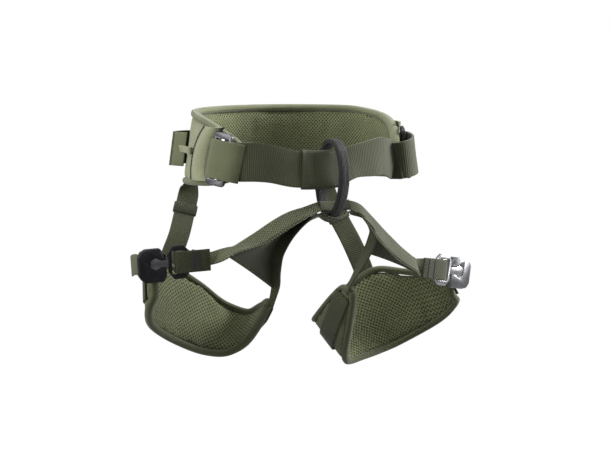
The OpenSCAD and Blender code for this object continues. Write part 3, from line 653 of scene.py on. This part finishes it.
for s, side in ((1, "left"), (-1, "right")):
    panel, grid, slits = slotPanel(s, "slotPanel_" + side)
    finishPiece(panel, canvas, cad=("slot_panel_" + side,))
    for edge, row in (("back", 1), ("front", -2)):
        line = grid[row]
        away = unit(line * [1, 1, 0])
        sew("slotStitch_%s_%s" % (side, edge), line + away * 1.25, tangents(line), away, thread,
            length=2.6, thick=0.6, pitch=2.4, zig=38)
    # painted shade: black tubes standing for the shade inside the slots, seen as the thin lines beside each
    # panel
    for edge, line in zip(("back", "front"), slits):
        away = unit(line * [1, 1, 0])
        slotShade = makeTube("slotPaintedShade_%s_%s" % (side, edge), line, unit(np.cross(tangents(line), away)), away,
                          roundedSection(2.2, 1.8), False)
        finishPiece(slotShade, blackBandAndShade)
    loop, grid = hipArch("gearLoop_" + side, s, hip["gear"], 21, 9)
    finishPiece(loop, paleWebAndPaintedLight, cad=("gear_loop_" + side,))
    # a black band with a thin olive edge each side runs down the outside of the gear loop
    bands = (("band", 11, 3.6, 1.3, blackBandAndShade), ("rearEdge", 9, 1.5, 1.9, paleWebAndPaintedLight),
             ("frontEdge", 13, 1.5, 1.9, paleWebAndPaintedLight))
    for name, row, wide, deep, look in bands:
        line = grid[row] + unit(grid[row] * [1, 1, 0]) * 1.2
        away = unit(line * [1, 1, 0])
        edge = makeTube("gearLoop_%s_%s" % (name, side), line, unit(np.cross(tangents(line), away)), away,
                        roundedSection(wide, deep, steps=2), False)
        finishPiece(edge, look)
    # painted shade: a black arch just under the gear loop, standing for the shade beneath it
    tube, _ = hipArch("gearLoopPaintedShade_" + side, s, hip["gearShadeArch"], 21, 7)
    finishPiece(tube, blackBandAndShade)
    # folded tape lying on the gear loop's front leg, rolled into a small loop at its front end
    roll = [(66, 17.6), (69, 14.4), (72, 10.6), (77, 8.6), (82, 8.0), (85.5, 8.0), (87.2, 8.9),
            (87.8, 10.6), (87.1, 12.2), (85.8, 12.4), (85.0, 11.2), (85.4, 9.6)]
    path = smoothPath([waistPoint(s * f, hip["tabHeight"], lift) for f, lift in roll], 4)
    upright = np.repeat([[0, 0, 1.0]], len(path), 0)
    tab = makeStrap("tapeTab_" + side, path, upright, hip["tabWide"], hip["tabThick"])
    finishPiece(tab, canvas, cad=("tape_loop_" + side,))
print("hip fittings made")


# side adjusters and belt
adjuster = {"angle": 114, "height": -8, "lean": -8, "tilt": 8, "thick": 4}
atAngle = math.radians(adjuster["angle"])
adjNormal = unit([math.sin(atAngle) / 123, math.cos(atAngle) / 115, 0])
adjStand = halfPad + 3.4 + adjuster["thick"] / 2
adjPlace = waistPoint(adjuster["angle"], adjuster["height"], 0) + adjNormal * adjStand


def adjDirection(s, p):
    tilt, lean = math.radians(adjuster["tilt"]), math.radians(adjuster["lean"])
    a = p[0] * math.cos(tilt) - p[1] * math.sin(tilt)
    b = p[0] * math.sin(tilt) + p[1] * math.cos(tilt)
    u = p[2] * math.cos(lean) + b * math.sin(lean)
    w = b * math.cos(lean) - p[2] * math.sin(lean)
    return np.array([s * (u * adjNormal[0] - a * adjNormal[1]), u * adjNormal[1] + a * adjNormal[0], w])


def adjPoint(s, p):
    return adjPlace * [s, 1, 1] + adjDirection(s, p)


belt = {"wide": 44, "thick": 2.6, "sleeve": 52, "sleeveAt": -20, "foldWide": 44.6, "foldThick": 2.0}
tailStart = [(5, -3.9), (10, -3.9), (14, -3), (16, 0), (14, 3.4), (9, 4.7), (0, 5)]
tailLeft = tailStart + [(-11, 4.4)]
# the right-hand tail rolls out over the adjuster, with a valley before the front of the belt
tailRight = [(5, -3.9), (10, -3.9), (14, -3), (16, 0), (14, 4.5), (8, 7.5), (-2, 9), (-13, 10), (-25, 8.5),
             (-34, 3.5), (-39.5, -4), (-40, -12), (-36, -18)]
frontKeys = [(-112, -75.5, -10), (-95, -86, -10), (-76, -93.5, -12.5), (-52, -99, -18), (-26, -102, -20),
             (0, -103, -19), (14, -103, -15), (27, -101.5, -12), (52, -97, -9.5), (70, -90, -8.5)]
frontTilt = [0.02, 0.05, 0.1, 0.18, 0.2, 0.18, 0.14, 0.1, 0.06, 0.02]
frontShare = [1, 1, 0.97, 0.96, 0.92, 0.9, 0.86, 0.86, 0.97, 1]
beltKeys = ([adjPoint(-1, (x, 0, z)) for x, z in tailLeft] + [np.array(p, float) for p in frontKeys]
            + [adjPoint(1, (x, 0, z)) for x, z in tailRight[::-1]])
beltUps = ([adjDirection(-1, (0, 1, 0)) for _ in tailLeft] + [np.array([0, k, 1.0]) for k in frontTilt]
           + [adjDirection(1, (0, 1, 0)) for _ in tailRight])
beltShares = [1] * len(tailLeft) + frontShare + [1] * len(tailRight)
beltPath = smoothPath(beltKeys, 9)
beltUp = smoothPath(beltUps, 9)
beltWidth = smoothPath(beltShares, 9)[:, 0] * belt["wide"]
webbing = makeStrap("beltWebbing", beltPath, beltUp, beltWidth, belt["thick"], cols=15, wave=0.25)
finishPiece(webbing, beltWeb, cad=("belt_web",))

# the webbing doubled back over the right-hand side's adjuster, ending in a valley before the belt
fold = [(12, 5.4), (7, 7.6), (0, 8.4), (-9, 8.2), (-18, 7.2), (-24, 5.2), (-28.5, 2.0), (-31, -1.6)]
foldPath = smoothPath([adjPoint(-1, (x, 0, z)) for x, z in fold], 6)
foldWay = np.repeat(adjDirection(-1, (0, 1, 0))[None], len(foldPath), 0)
folded = makeStrap("beltFold_right", foldPath, foldWay, belt["foldWide"], belt["foldThick"], cols=13,
                   wave=0.15)
# the fold is the belt's own webbing, given the paler material as painted light
finishPiece(folded, paleWebAndPaintedLight)
inSleeve = [i for i, p in enumerate(beltPath)
            if abs(p[0] - belt["sleeveAt"]) < belt["sleeve"] / 2 and p[1] < -60]
piece = slice(inSleeve[0], inSleeve[-1] + 1)
sleevePath, sleeveUp, sleeveWide = beltPath[piece], beltUp[piece], beltWidth[piece]
sleeveSide, sleeveOut = across(sleevePath, sleeveUp)


def makeSleeve():
    girth = []
    for k in np.linspace(0, 1, 41)[:-1]:
        a = 2 * math.pi * k
        c, n = math.cos(a), math.sin(a)
        girth.append((math.copysign(abs(c) ** 0.35, c), math.copysign(abs(n) ** 0.6, n)))
    girth = np.array(girth + girth[:1])
    along = arcLength(sleevePath)
    half = (sleeveWide[:, None] / 2 + 2.2)
    deep = (belt["thick"] + 4.2) / 2
    crease = 0.45 * np.sin(along[:, None] / 3.1 + girth[None, :, 0] * 2.5) * np.exp(-along[:, None] / 16)
    bulge = 1 + 0.16 * np.sin(np.pi * along / along[-1])[:, None]
    sideways = half * girth[None, :, 0]
    outward = (deep * bulge + crease) * girth[None, :, 1]
    points = (sleevePath[:, None] + sleeveSide[:, None] * sideways[:, :, None]
              + sleeveOut[:, None] * outward[:, :, None])
    uv = np.stack(np.meshgrid(along, np.linspace(0, 100, len(girth)), indexing="ij"), 2)
    obj = layGrid("beltSleeve", points, uv)
    closeMesh(obj)
    applyModifier(obj, "SOLIDIFY", thickness=1.2 * mm, offset=-1.0)
    closeMesh(obj, 0.001)
    return obj


finishPiece(makeSleeve(), smoothCloth, cad=("belt_sleeve",), angle=60)
for name, offset in (("top", 0.46), ("bottom", -0.46)):
    for face in (1, -1):
        sewAlong("sleeveStitch_%s_%d" % (name, face > 0), sleevePath, sleeveUp, sleeveWide * offset,
                 face * 3.2, thread, length=2.4, thick=0.6, pitch=3.2)
front = -1 if sleeveOut[len(sleeveOut) // 2][1] > 0 else 1
for k in (2, 5):
    face = sleeveOut[k] * front
    line = sleevePath[k] + sleeveSide[k] * np.linspace(-20, 20, 15)[:, None] + face * 3.75
    sew("sleeveSeam_%d" % k, line, np.repeat(sleeveSide[k:k + 1], 15, 0), np.repeat(face[None], 15, 0),
        darkThread, length=2.3, thick=0.7, pitch=3.2)


def bevelCopy(name, node, width, material, body, angle=30, head=None):
    # a copy of the CAD piece with its edges broken, as a machined part has
    source = nodes[node]
    obj = source.copy()
    obj.data = source.data.copy()
    obj.parent = None
    obj.matrix_world = Matrix.Identity(4)
    bpy.context.collection.objects.link(obj)
    obj.name = obj.data.name = name
    obj.hide_render = obj.hide_viewport = False
    obj.data.materials.clear()
    closeMesh(obj, 0.01)
    only(obj)
    bpy.ops.object.mode_set(mode="EDIT")
    bpy.ops.mesh.select_all(action="SELECT")
    bpy.ops.mesh.dissolve_limited(angle_limit=math.radians(1.5))
    bpy.ops.object.mode_set(mode="OBJECT")
    applyModifier(obj, "BEVEL", width=width * mm, segments=2, limit_method="ANGLE",
                  angle_limit=math.radians(angle), use_clamp_overlap=True, harden_normals=False)
    obj.data.materials.append(material)
    if head:  # the stud's own hexagon is left bare
        centre, reach, look = head
        obj.data.materials.append(look)
        for face in obj.data.polygons:
            if (face.center - Vector(centre * mm)).length < reach * mm:
                face.material_index = 1
    return finishPiece(obj, material, body, (node,), angle=35)


for side in ("left", "right"):
    bevelCopy("beltFrame_" + side, "belt_frame_" + side, 0.9, greyAlloy, "harness")
    bevelCopy("beltBar_" + side, "belt_bar_" + side, 0.5, groundSteel, "belt_bar_" + side)
print("belt made")

# belay loop
tieLoop = {"high": 91, "deep": 47, "wide": 13, "thick": 5.4, "centre": (-3, -99, -30.8), "yaw": 11,
           "tilt": 4}
turns = np.linspace(0, 2 * math.pi, 97)[:-1]
midY = (tieLoop["deep"] / 2) * np.cos(turns)
midZ = (tieLoop["high"] / 2) * np.sin(turns)
flat = np.stack([np.zeros_like(turns), midY, midZ], 1)
inwardOf = unit(np.cross(ringTangents(flat), [1, 0, 0]))
inwardOf *= np.sign(-(inwardOf * flat).sum(1))[:, None]
flat = flat + inwardOf * tieLoop["thick"] / 2
place = (Matrix.Translation(Vector(tieLoop["centre"])) @ Matrix.Rotation(math.radians(tieLoop["yaw"]), 4, "Z")
         @ Matrix.Rotation(math.radians(tieLoop["tilt"]), 4, "X"))
turnOnly = np.array(place.to_3x3())
loopPath = flat @ turnOnly.T + np.array(place.translation)
loopOut = -inwardOf @ turnOnly.T
loopSide = np.repeat((turnOnly @ [1, 0, 0])[None], len(flat), 0)
half, deep = tieLoop["wide"] / 2, tieLoop["thick"] / 2
# two layers of webbing, with a groove down each edge where they meet
profile = [(half, 0.35), (half - 0.1, deep - 0.5), (half - 0.7, deep), (half * 0.4, deep + 0.12),
           (-half * 0.4, deep + 0.12), (-half + 0.7, deep), (-half + 0.1, deep - 0.5), (-half, 0.35),
           (-half + 0.55, 0), (-half, -0.35), (-half + 0.1, -deep + 0.5), (-half + 0.7, -deep),
           (-half * 0.4, -deep - 0.05), (half * 0.4, -deep - 0.05), (half - 0.7, -deep),
           (half - 0.1, -deep + 0.5), (half, -0.35), (half - 0.55, 0)]
sewnLoop = makeTube("belayLoop", loopPath, loopSide, loopOut, profile, True)
finishPiece(sewnLoop, loopWeb, "belay_loop", ("belay_loop",), angle=40)
ringWay = ringTangents(loopPath)
isFront = [i for i, p in enumerate(loopPath) if p[1] < tieLoop["centre"][1] - 8 and -40 < p[2] < 2]
for k, offset in enumerate((-4.2, -1.4, 1.4, 4.2)):
    line = loopPath[isFront] + loopSide[isFront] * offset + loopOut[isFront] * (deep + 0.15)
    sew("loopBartack_%d" % k, line, ringWay[isFront], loopOut[isFront], loopWeb, length=2.2, thick=0.8,
        pitch=2.0, zig=40, body="belay_loop")
print("belay loop made")

# crotch bridge
crotch = {"bridgeWide": 12, "bridgeThick": 4.6, "wrapWide": [11, 15, 17, 17, 15, 11], "wrapThick": 2.0}
bridgePath = smoothPath([(-20, -99.5, -62), (-8, -97.6, -63.3), (0, -97, -63.6), (8, -97.6, -63.3),
                         (20, -99.5, -62)], 6)
side, up = across(bridgePath, np.repeat([[0, 0.3, 1.0]], len(bridgePath), 0))
bridgeSection = roundedSection(crotch["bridgeWide"], crotch["bridgeThick"], crown=0.4, steps=4)
bridge = makeTube("crotchBridge", bridgePath, side, up, bridgeSection, False)
finishPiece(bridge, legWeb, cad=("crotch_bridge",))
wrapPath = smoothPath([(-19.5, -98, -71), (-11, -98.5, -76), (-3, -98.5, -78.4), (5, -98.5, -78.2),
                       (12, -98.2, -75.2), (19.5, -98, -71)], 6)
wrap = makeStrap("crotchWrap", wrapPath, np.repeat([[0, 1, -0.42]], len(wrapPath), 0),
                 smoothPath(crotch["wrapWide"], 6), crotch["wrapThick"], wave=0.7)
finishPiece(wrap, pebbleWeb, cad=("crotch_wrap",))


# leg loops
leg = {"offset": 29, "web": 25, "webThick": 1.8, "padThick": 9, "core": 6.6, "swell": 1.6, "tape": 5}
# the pads' upper and lower edges, 1 on the wearer's left and -1 on the right
edgeHi = {-1: [(197, -29, -149), (194, -8, -150), (168, 34, -149), (142, 49, -151), (97, 59, -178),
               (70, 57, -200), (51, 51, -210), (41, 36, -213), (39, 16, -205), (44, -10, -197),
               (51, -30, -190)],
          1: [(197, -27.5, -149), (196, -6, -149), (171, 35, -148), (143, 50, -144), (120, 59, -157),
              (92, 66, -180), (64, 60, -199), (49, 42, -200), (46, 22, -188), (47, -2, -170),
              (50, -26, -153)]}
edgeLo = {-1: [(199, -39, -182), (203, -32, -193), (192, -9, -215), (163, 13, -236), (123, 26, -256),
               (98, 28, -264), (78, 25, -265), (62, 10, -252), (54, -10, -228), (53, -27, -209),
               (54, -40, -197)],
          1: [(202, -36.5, -181), (214, -32, -186), (206, -8, -211), (166, 22, -241), (136, 27, -252),
              (107, 19, -256), (80, 5, -256), (68, -10, -242), (62, -28, -216), (58, -44, -184),
              (55, -53, -160)]}


def drop(s):
    return -s * leg["offset"] / 2


def legPoint(s, p):
    return np.array([s * p[0], p[1], p[2] + drop(s)], float)


# places are measured from the stud's middle, along the buckle; 1 is the wearer's left and -1 the right
buckle = {"yaw": 11, "roll": {1: 9, -1: 3}, "place": {1: (202, -48, -143), -1: (202, -48, -138)},
          "bodyEnd": -12, "bodyLong": 31, "bodyThick": 12, "faceAt": 2.4, "gap": 2.6, "frameLong": 23,
          "barRadius": 2.1, "stripes": {1: (-43.5, -53.0), -1: (-42.5, -49.5)}}
foldEnd = buckle["bodyEnd"] - buckle["gap"] - buckle["frameLong"]
barAt = buckle["bodyEnd"] - buckle["gap"] - buckle["frameLong"] * 0.55
bodyFar = buckle["bodyEnd"] + buckle["bodyLong"]
backFace = buckle["faceAt"] - buckle["bodyThick"]


def bucklePoint(s, p):
    c, n = math.cos(math.radians(buckle["roll"][s])), math.sin(math.radians(buckle["roll"][s]))
    cy, sy = math.cos(math.radians(buckle["yaw"])), math.sin(math.radians(buckle["yaw"]))
    a, b = p[0] * c + p[1] * n, -p[0] * n + p[1] * c
    o = legPoint(s, buckle["place"][s])
    return np.array([o[0] + s * (a * cy + p[2] * sy), o[1] + a * sy - p[2] * cy, o[2] + b])


def strapKeys(s):
    e, d = foldEnd - 6, drop(s)
    if s > 0:  # seen from its face, so it leans out
        front = [legPoint(s, (35, -102, -71 - d)), legPoint(s, (58, -97, -89 - d * 0.6)),
                 legPoint(s, (91, -89, -112.5 - d * 0.3)), legPoint(s, (120, -83, -127))]
        ups = [(0, 0.5, 1), (0.2, 0.6, 0.75), (0.34, 0.61, 0.72), (0.34, 0.61, 0.72), (0.2, 0.7, 0.65),
               (0, 0.5, 0.9), (0, 0, 1)]
        wide = [11, 17, 25, 25, 24, 22, 25]
    else:  # pinched and half turned just before the buckle
        front = [legPoint(s, (38, -103.5, -67 - d)), legPoint(s, (62, -99, -83 - d * 0.6)),
                 legPoint(s, (95, -91, -107.5 - d * 0.3)), legPoint(s, (124, -83, -124.5))]
        ups = [(0, 0.5, 1), (0, 0.8, 0.7), (0, 0.87, 0.48), (0, 0.9, 0.42), (0, 0.97, 0.2), (0, 0.8, 0.6),
               (0, 0, 1)]
        wide = [11, 15, 25, 25, 19, 17, 25]
    intoBuckle = [bucklePoint(s, (e - 21, 0, -4.2)), bucklePoint(s, (e, 0, -3.9))]
    path = [legPoint(s, (19, -99.5, -62 - d))] + front + intoBuckle
    return smoothPath(path, 10), smoothPath(ups, 10), smoothPath(wide, 10)[:, 0]


def innerKeys(s):
    d = drop(s)
    keys = [(20.5, -98, -71.4), (38, -101, -77.5), (56, -90.5, -96), (61, -76, -114), (57, -62, -137),
            (51, -49, -160), (50, -38, -174) if s > 0 else (51, -37, -184)]
    path = [legPoint(s, (x, y, z - d)) for x, y, z in keys]
    turn = 0.2 if s > 0 else -0.12  # how far the webbing faces the front
    ups = [(0.2, 1, 0.3), (0.3, 1, 0.2), (turn, 1, 0.1), (turn, 1, 0.3), (turn, 1, 0.2), (turn, 1, -0.2),
           (0, 1, -0.5)]
    return smoothPath(path, 10), smoothPath(ups, 10), smoothPath([11, 15, 20, 22, 20, 14, 11], 10)[:, 0]


def webEdge(path, ups, width, share, off):
    side, up = across(path, ups)
    return path + side * (width * share)[:, None] + up * off


def elevatorKeys(s):
    keys = [waistPoint(43, v, halfPad + 1.8) * [s, 1, 1] for v in (-12, -26, -40)]
    d = drop(s)
    near = 1 if s > 0 else 0
    keys += [legPoint(s, p) for p in ((93, 96, -56 - d), (104 - 3 * near, 84, -82 - d * 0.7),
                                      (121 - 6 * near, 65, -116 - d * 0.3), (134 - 6 * near, 59, -144),
                                      (138 - 6 * near, 58, -158))]
    path = smoothPath(keys, 8)
    flatWay = unit([123 * math.cos(math.radians(43)), -115 * math.sin(math.radians(43)), 0]) * [s, 1, 1] * s
    share = np.clip((np.arange(len(path)) / 2 - 8) / 6, 0, 1)[:, None]
    return path, flatWay * (1 - share) + np.array([0.95, -0.25, 0]) * share


for s, side in ((1, "left"), (-1, "right")):
    high = smoothPath([legPoint(s, p) for p in edgeHi[s]], 8)
    low = smoothPath([legPoint(s, p) for p in edgeLo[s]], 8)
    edgeA, edgeB = (low, high) if s > 0 else (high, low)
    inA, inB = edgeA + unit(edgeB - edgeA) * inset, edgeB + unit(edgeA - edgeB) * inset
    pad = puffPad("legPad_" + side, inA, inB, leg["core"], leg["swell"])
    paintSides(pad, inA, inB, legMesh, legCloth)
    finishPiece(pad, [], cad=("leg_shell_" + side, "leg_foam_" + side, "leg_mesh_" + side))
    halfLegPad = leg["padThick"] / 2
    _, rim, rimOut, rimFace = bindEdge("legBinding_" + side, inA, inB, halfLegPad - 0.1, leg["tape"], legTape,
                                       ("leg_binding_" + side,), passes=5)
    sew("legBindingStitch_" + side, rim + rimOut * 0.6 - rimFace * (halfLegPad + 0.35), ringTangents(rim),
        -rimFace, darkThread, length=2.4, thick=0.6, pitch=3.4)
    start, stop = int(2 / 3 * 8), int(29 / 3 * 8) + 1
    a, b = edgeA[start:stop], edgeB[start:stop]
    middle, face = (a + b) / 2, stripNormal(a, b)
    wide = np.minimum(12.5, np.linalg.norm(a - b, axis=1) / 2 - 1) * 2
    outerWeb = makeStrap("legOuterWeb_" + side, middle + face * (halfLegPad + 1.5), unit(a - b), wide,
                         leg["webThick"])
    finishPiece(outerWeb, legWeb, cad=("leg_outer_web_" + side,))

    path, ups, wide = strapKeys(s)
    strap = makeStrap("legStrap_" + side, path, ups, wide, leg["webThick"], wave=0.35)
    finishPiece(strap, pebbleWeb if s < 0 else legWeb, cad=("leg_strap_" + side,))
    inPath, inUps, inWide = innerKeys(s)
    inner = makeStrap("legInnerWeb_" + side, inPath, inUps, inWide, leg["webThick"], wave=0.3)
    finishPiece(inner, smoothCloth, cad=("leg_inner_web_" + side,))
    # the gusset hangs between the strap's lower edge and the inner webbing, a little slack
    ga = webEdge(path, ups, wide, -0.42, s * 1.2)[7:44 if s > 0 else 42]
    gb = webEdge(inPath, inUps, inWide, 0.36, -s * 1.4)[7:37 if s > 0 else 53]
    share, given = np.linspace(0, 1, len(ga)), np.linspace(0, 1, len(gb))
    gb = np.stack([np.interp(share, given, gb[:, k]) for k in range(3)], 1)
    t = np.linspace(0, 1, 15)[None, :, None]
    face = stripNormal(ga, gb)[:, None]
    slack = np.sin(np.pi * t) * np.sin(np.linspace(0.2, 1, len(ga)) * np.pi * 0.5)[:, None, None]
    points = ga[:, None] * (1 - t) + gb[:, None] * t + face * slack * 2.2 * (1 if s > 0 else -1)
    uv = np.stack([np.broadcast_to(arcLength(ga)[:, None], points.shape[:2]),
                   np.linalg.norm(points - points[:, :1], axis=2)], 2)
    gusset = layGrid("gusset_" + side, points, uv)
    applyModifier(gusset, "SOLIDIFY", thickness=1.0 * mm, offset=0.0)
    closeMesh(gusset, 0.001)
    finishPiece(gusset, smoothCloth, cad=("gusset_" + side,))
    hem = points[-2]
    hemUp = np.repeat(face[-2], len(hem), 0)
    for k in (1, -1):
        sew("gussetHem_%s_%d" % (side, k > 0), hem + hemUp * k * 0.75, tangents(hem), hemUp * k, thread,
            length=3.2, thick=0.8, pitch=2.6, zig=42)
        seam = points[:, 1]
        sew("gussetSeam_%s_%d" % (side, k > 0), seam + face[:, 0] * k * 0.7, tangents(seam), face[:, 0] * k,
            darkThread, length=2.3, thick=0.6, pitch=3.3)

    path, ups = elevatorKeys(s)
    elevator = makeStrap("elevator_" + side, path, ups, leg["web"], leg["webThick"], wave=0.3)
    finishPiece(elevator, legWeb, cad=("elevator_" + side,))
    k = 34 if s > 0 else 32
    centre, way = path[k], unit(path[k + 2] - path[k - 2])
    wayAcross = unit(ups[k] - way * np.dot(ups[k], way))
    ring = []
    for u, v in roundedSection(leg["web"] + 2.6, leg["webThick"] + 3.4, steps=5, corner=2.4):
        ring.append(centre + wayAcross * u + np.cross(way, wayAcross) * v)
    ring = np.array(ring)
    outward = unit(ring - centre - np.outer((ring - centre) @ way, way))
    keeper = makeTube("keeper_" + side, ring, np.repeat(way[None], len(ring), 0), outward,
                      [(-7, -0.6), (-6.6, 0.5), (0, 0.7), (6.6, 0.5), (7, -0.6), (0, -0.6)], True)
    finishPiece(keeper, elastic, "keeper_" + side, ("keeper_" + side,), angle=60)
print("leg loops made")

# leg buckles
for s, side in ((1, "left"), (-1, "right")):
    # the wearer's left buckle faces the right softbox: its pale and near white alloys are painted light,
    # copies of the other buckle's dark anodised alloy
    metal, slotName = (paintedLitAlloy, "alloy_silver") if s > 0 else (anodised, "alloy_dark")
    frameMetal, headMetal = (paintedGlintAlloy, paintedGlintAlloy) if s > 0 else (anodised, bareAlloy)
    head = (bucklePoint(s, (0, 0, 0)), 8.6, headMetal)
    bevelCopy("buckleBody_" + side, "buckle_body_" + side, 0.7, metal, "harness", angle=20)
    bevelCopy("studFrame_" + side, "stud_frame_" + side, 0.6, frameMetal, "stud_" + side,
              angle=25, head=head)
    bevelCopy("strapBar_" + side, "strap_bar_" + side, 0.4, groundSteel, "strap_bar_" + side)
    bevelCopy("anchorBar_" + side, "anchor_bar_" + side, 0.4, groundSteel, "harness")

    x, r = foldEnd - barAt, buckle["barRadius"] + leg["webThick"] / 2
    turnPoints = [(1.6 + r * math.cos(a), r * math.sin(a)) for a in np.radians(np.arange(-90, 91, 15))]
    fold = [(x - 3, -3.9), (-4, -3.9)] + turnPoints + [(-4, 3.9), (x - 4, 4.1), (x - 12, 4.1), (x - 25, 4.1)]
    path = np.array([bucklePoint(s, (barAt + u, 0, v)) for u, v in fold])
    up = bucklePoint(s, (0, 1, 0)) - bucklePoint(s, (0, 0, 0))
    ups = np.repeat(up[None], len(path), 0)
    folded = makeStrap("strapFold_" + side, path, ups, leg["web"], leg["webThick"])
    finishPiece(folded, legWeb, "strap_bar_" + side, ("strap_fold_" + side,))
    out = bucklePoint(s, (0, 0, 1)) - bucklePoint(s, (0, 0, 0))
    for k, stripeX in enumerate(buckle["stripes"][s]):
        line = np.array([bucklePoint(s, (stripeX, y, 5.05)) for y in np.linspace(-11, 11, 9)])
        flatWay = np.repeat(unit(np.cross(tangents(line)[:1], out)), 9, 0)
        stripe = makeTube("tabStripe_%s_%d" % (side, k), line, flatWay, np.repeat(out[None], 9, 0),
                          roundedSection(3.0, 0.7, steps=2, corner=0.3), False)
        finishPiece(stripe, stripeRubber, "strap_bar_" + side)
    padKeys = ((212, -12, -148), (209, 4, -150)) if s > 0 else ((212, -12, -142), (209, 4, -146))
    behind = bucklePoint(s, (bodyFar - 5.2, -2, backFace - 3.4))
    path = smoothPath([behind] + [legPoint(s, p) for p in padKeys], 6)
    anchor = makeStrap("anchorWeb_" + side, path, np.repeat([[0, 0.05, 1.0]], len(path), 0), 24, 1.8)
    finishPiece(anchor, pebbleWeb, cad=("anchor_web_" + side,))
print("buckles made")

# floor and sky
lowest = cadBox[0][2]
bpy.ops.object.select_all(action="DESELECT")
bpy.ops.mesh.primitive_grid_add(x_subdivisions=8, y_subdivisions=8, size=60,
                                location=(0, 24, lowest - light["floorDrop"]))
floor = bpy.context.object
floor.name = "paleFloor"
# matt white backdrop paper with a barely seen grain
paper, tree, shader = newMaterial("whitePaper")
grain = addNode(tree, "ShaderNodeTexNoise", {
    "Vector": addNode(tree, "ShaderNodeTexCoord").outputs["Object"], "Scale": 40.0}).outputs["Fac"]
level = addNode(tree, "ShaderNodeMix", {
    "Factor": grain, "A": linear("#8A8A8A"), "B": linear("#909090")}, data_type="RGBA")
tree.links.new(level.outputs[2], shader.inputs["Base Color"])
shader.inputs["Roughness"].default_value = 0.95
shader.inputs["Specular IOR Level"].default_value = 0.1
# the camera sees paper lit to pure white, and the object only a mid grey bounce
glow = addNode(tree, "ShaderNodeEmission", {"Color": (1, 1, 1, 1), "Strength": 1.0})
paperMix = addNode(tree, "ShaderNodeMixShader", {
    0: addNode(tree, "ShaderNodeLightPath").outputs["Is Camera Ray"],
    1: shader.outputs[0], 2: glow.outputs[0]})
tree.links.new(paperMix.outputs[0], tree.nodes["Material Output"].inputs["Surface"])
floor.data.materials.append(paper)

world = bpy.data.worlds.new("studio")
bpy.context.scene.world = world
world.use_nodes = True
sky = world.node_tree
sky.nodes["Background"].inputs["Color"].default_value = (1, 1, 1, 1)
sky.nodes["Background"].inputs["Strength"].default_value = light["sky"]
seen = addNode(sky, "ShaderNodeBackground", {"Color": (1, 1, 1, 1), "Strength": 1.0})
switch = addNode(sky, "ShaderNodeMixShader", {
    0: addNode(sky, "ShaderNodeLightPath").outputs["Is Camera Ray"],
    1: sky.nodes["Background"].outputs[0], 2: seen.outputs[0]})
sky.links.new(switch.outputs[0], sky.nodes["World Output"].inputs[0])
bpy.context.scene.view_settings.view_transform = "Standard"

print("done")
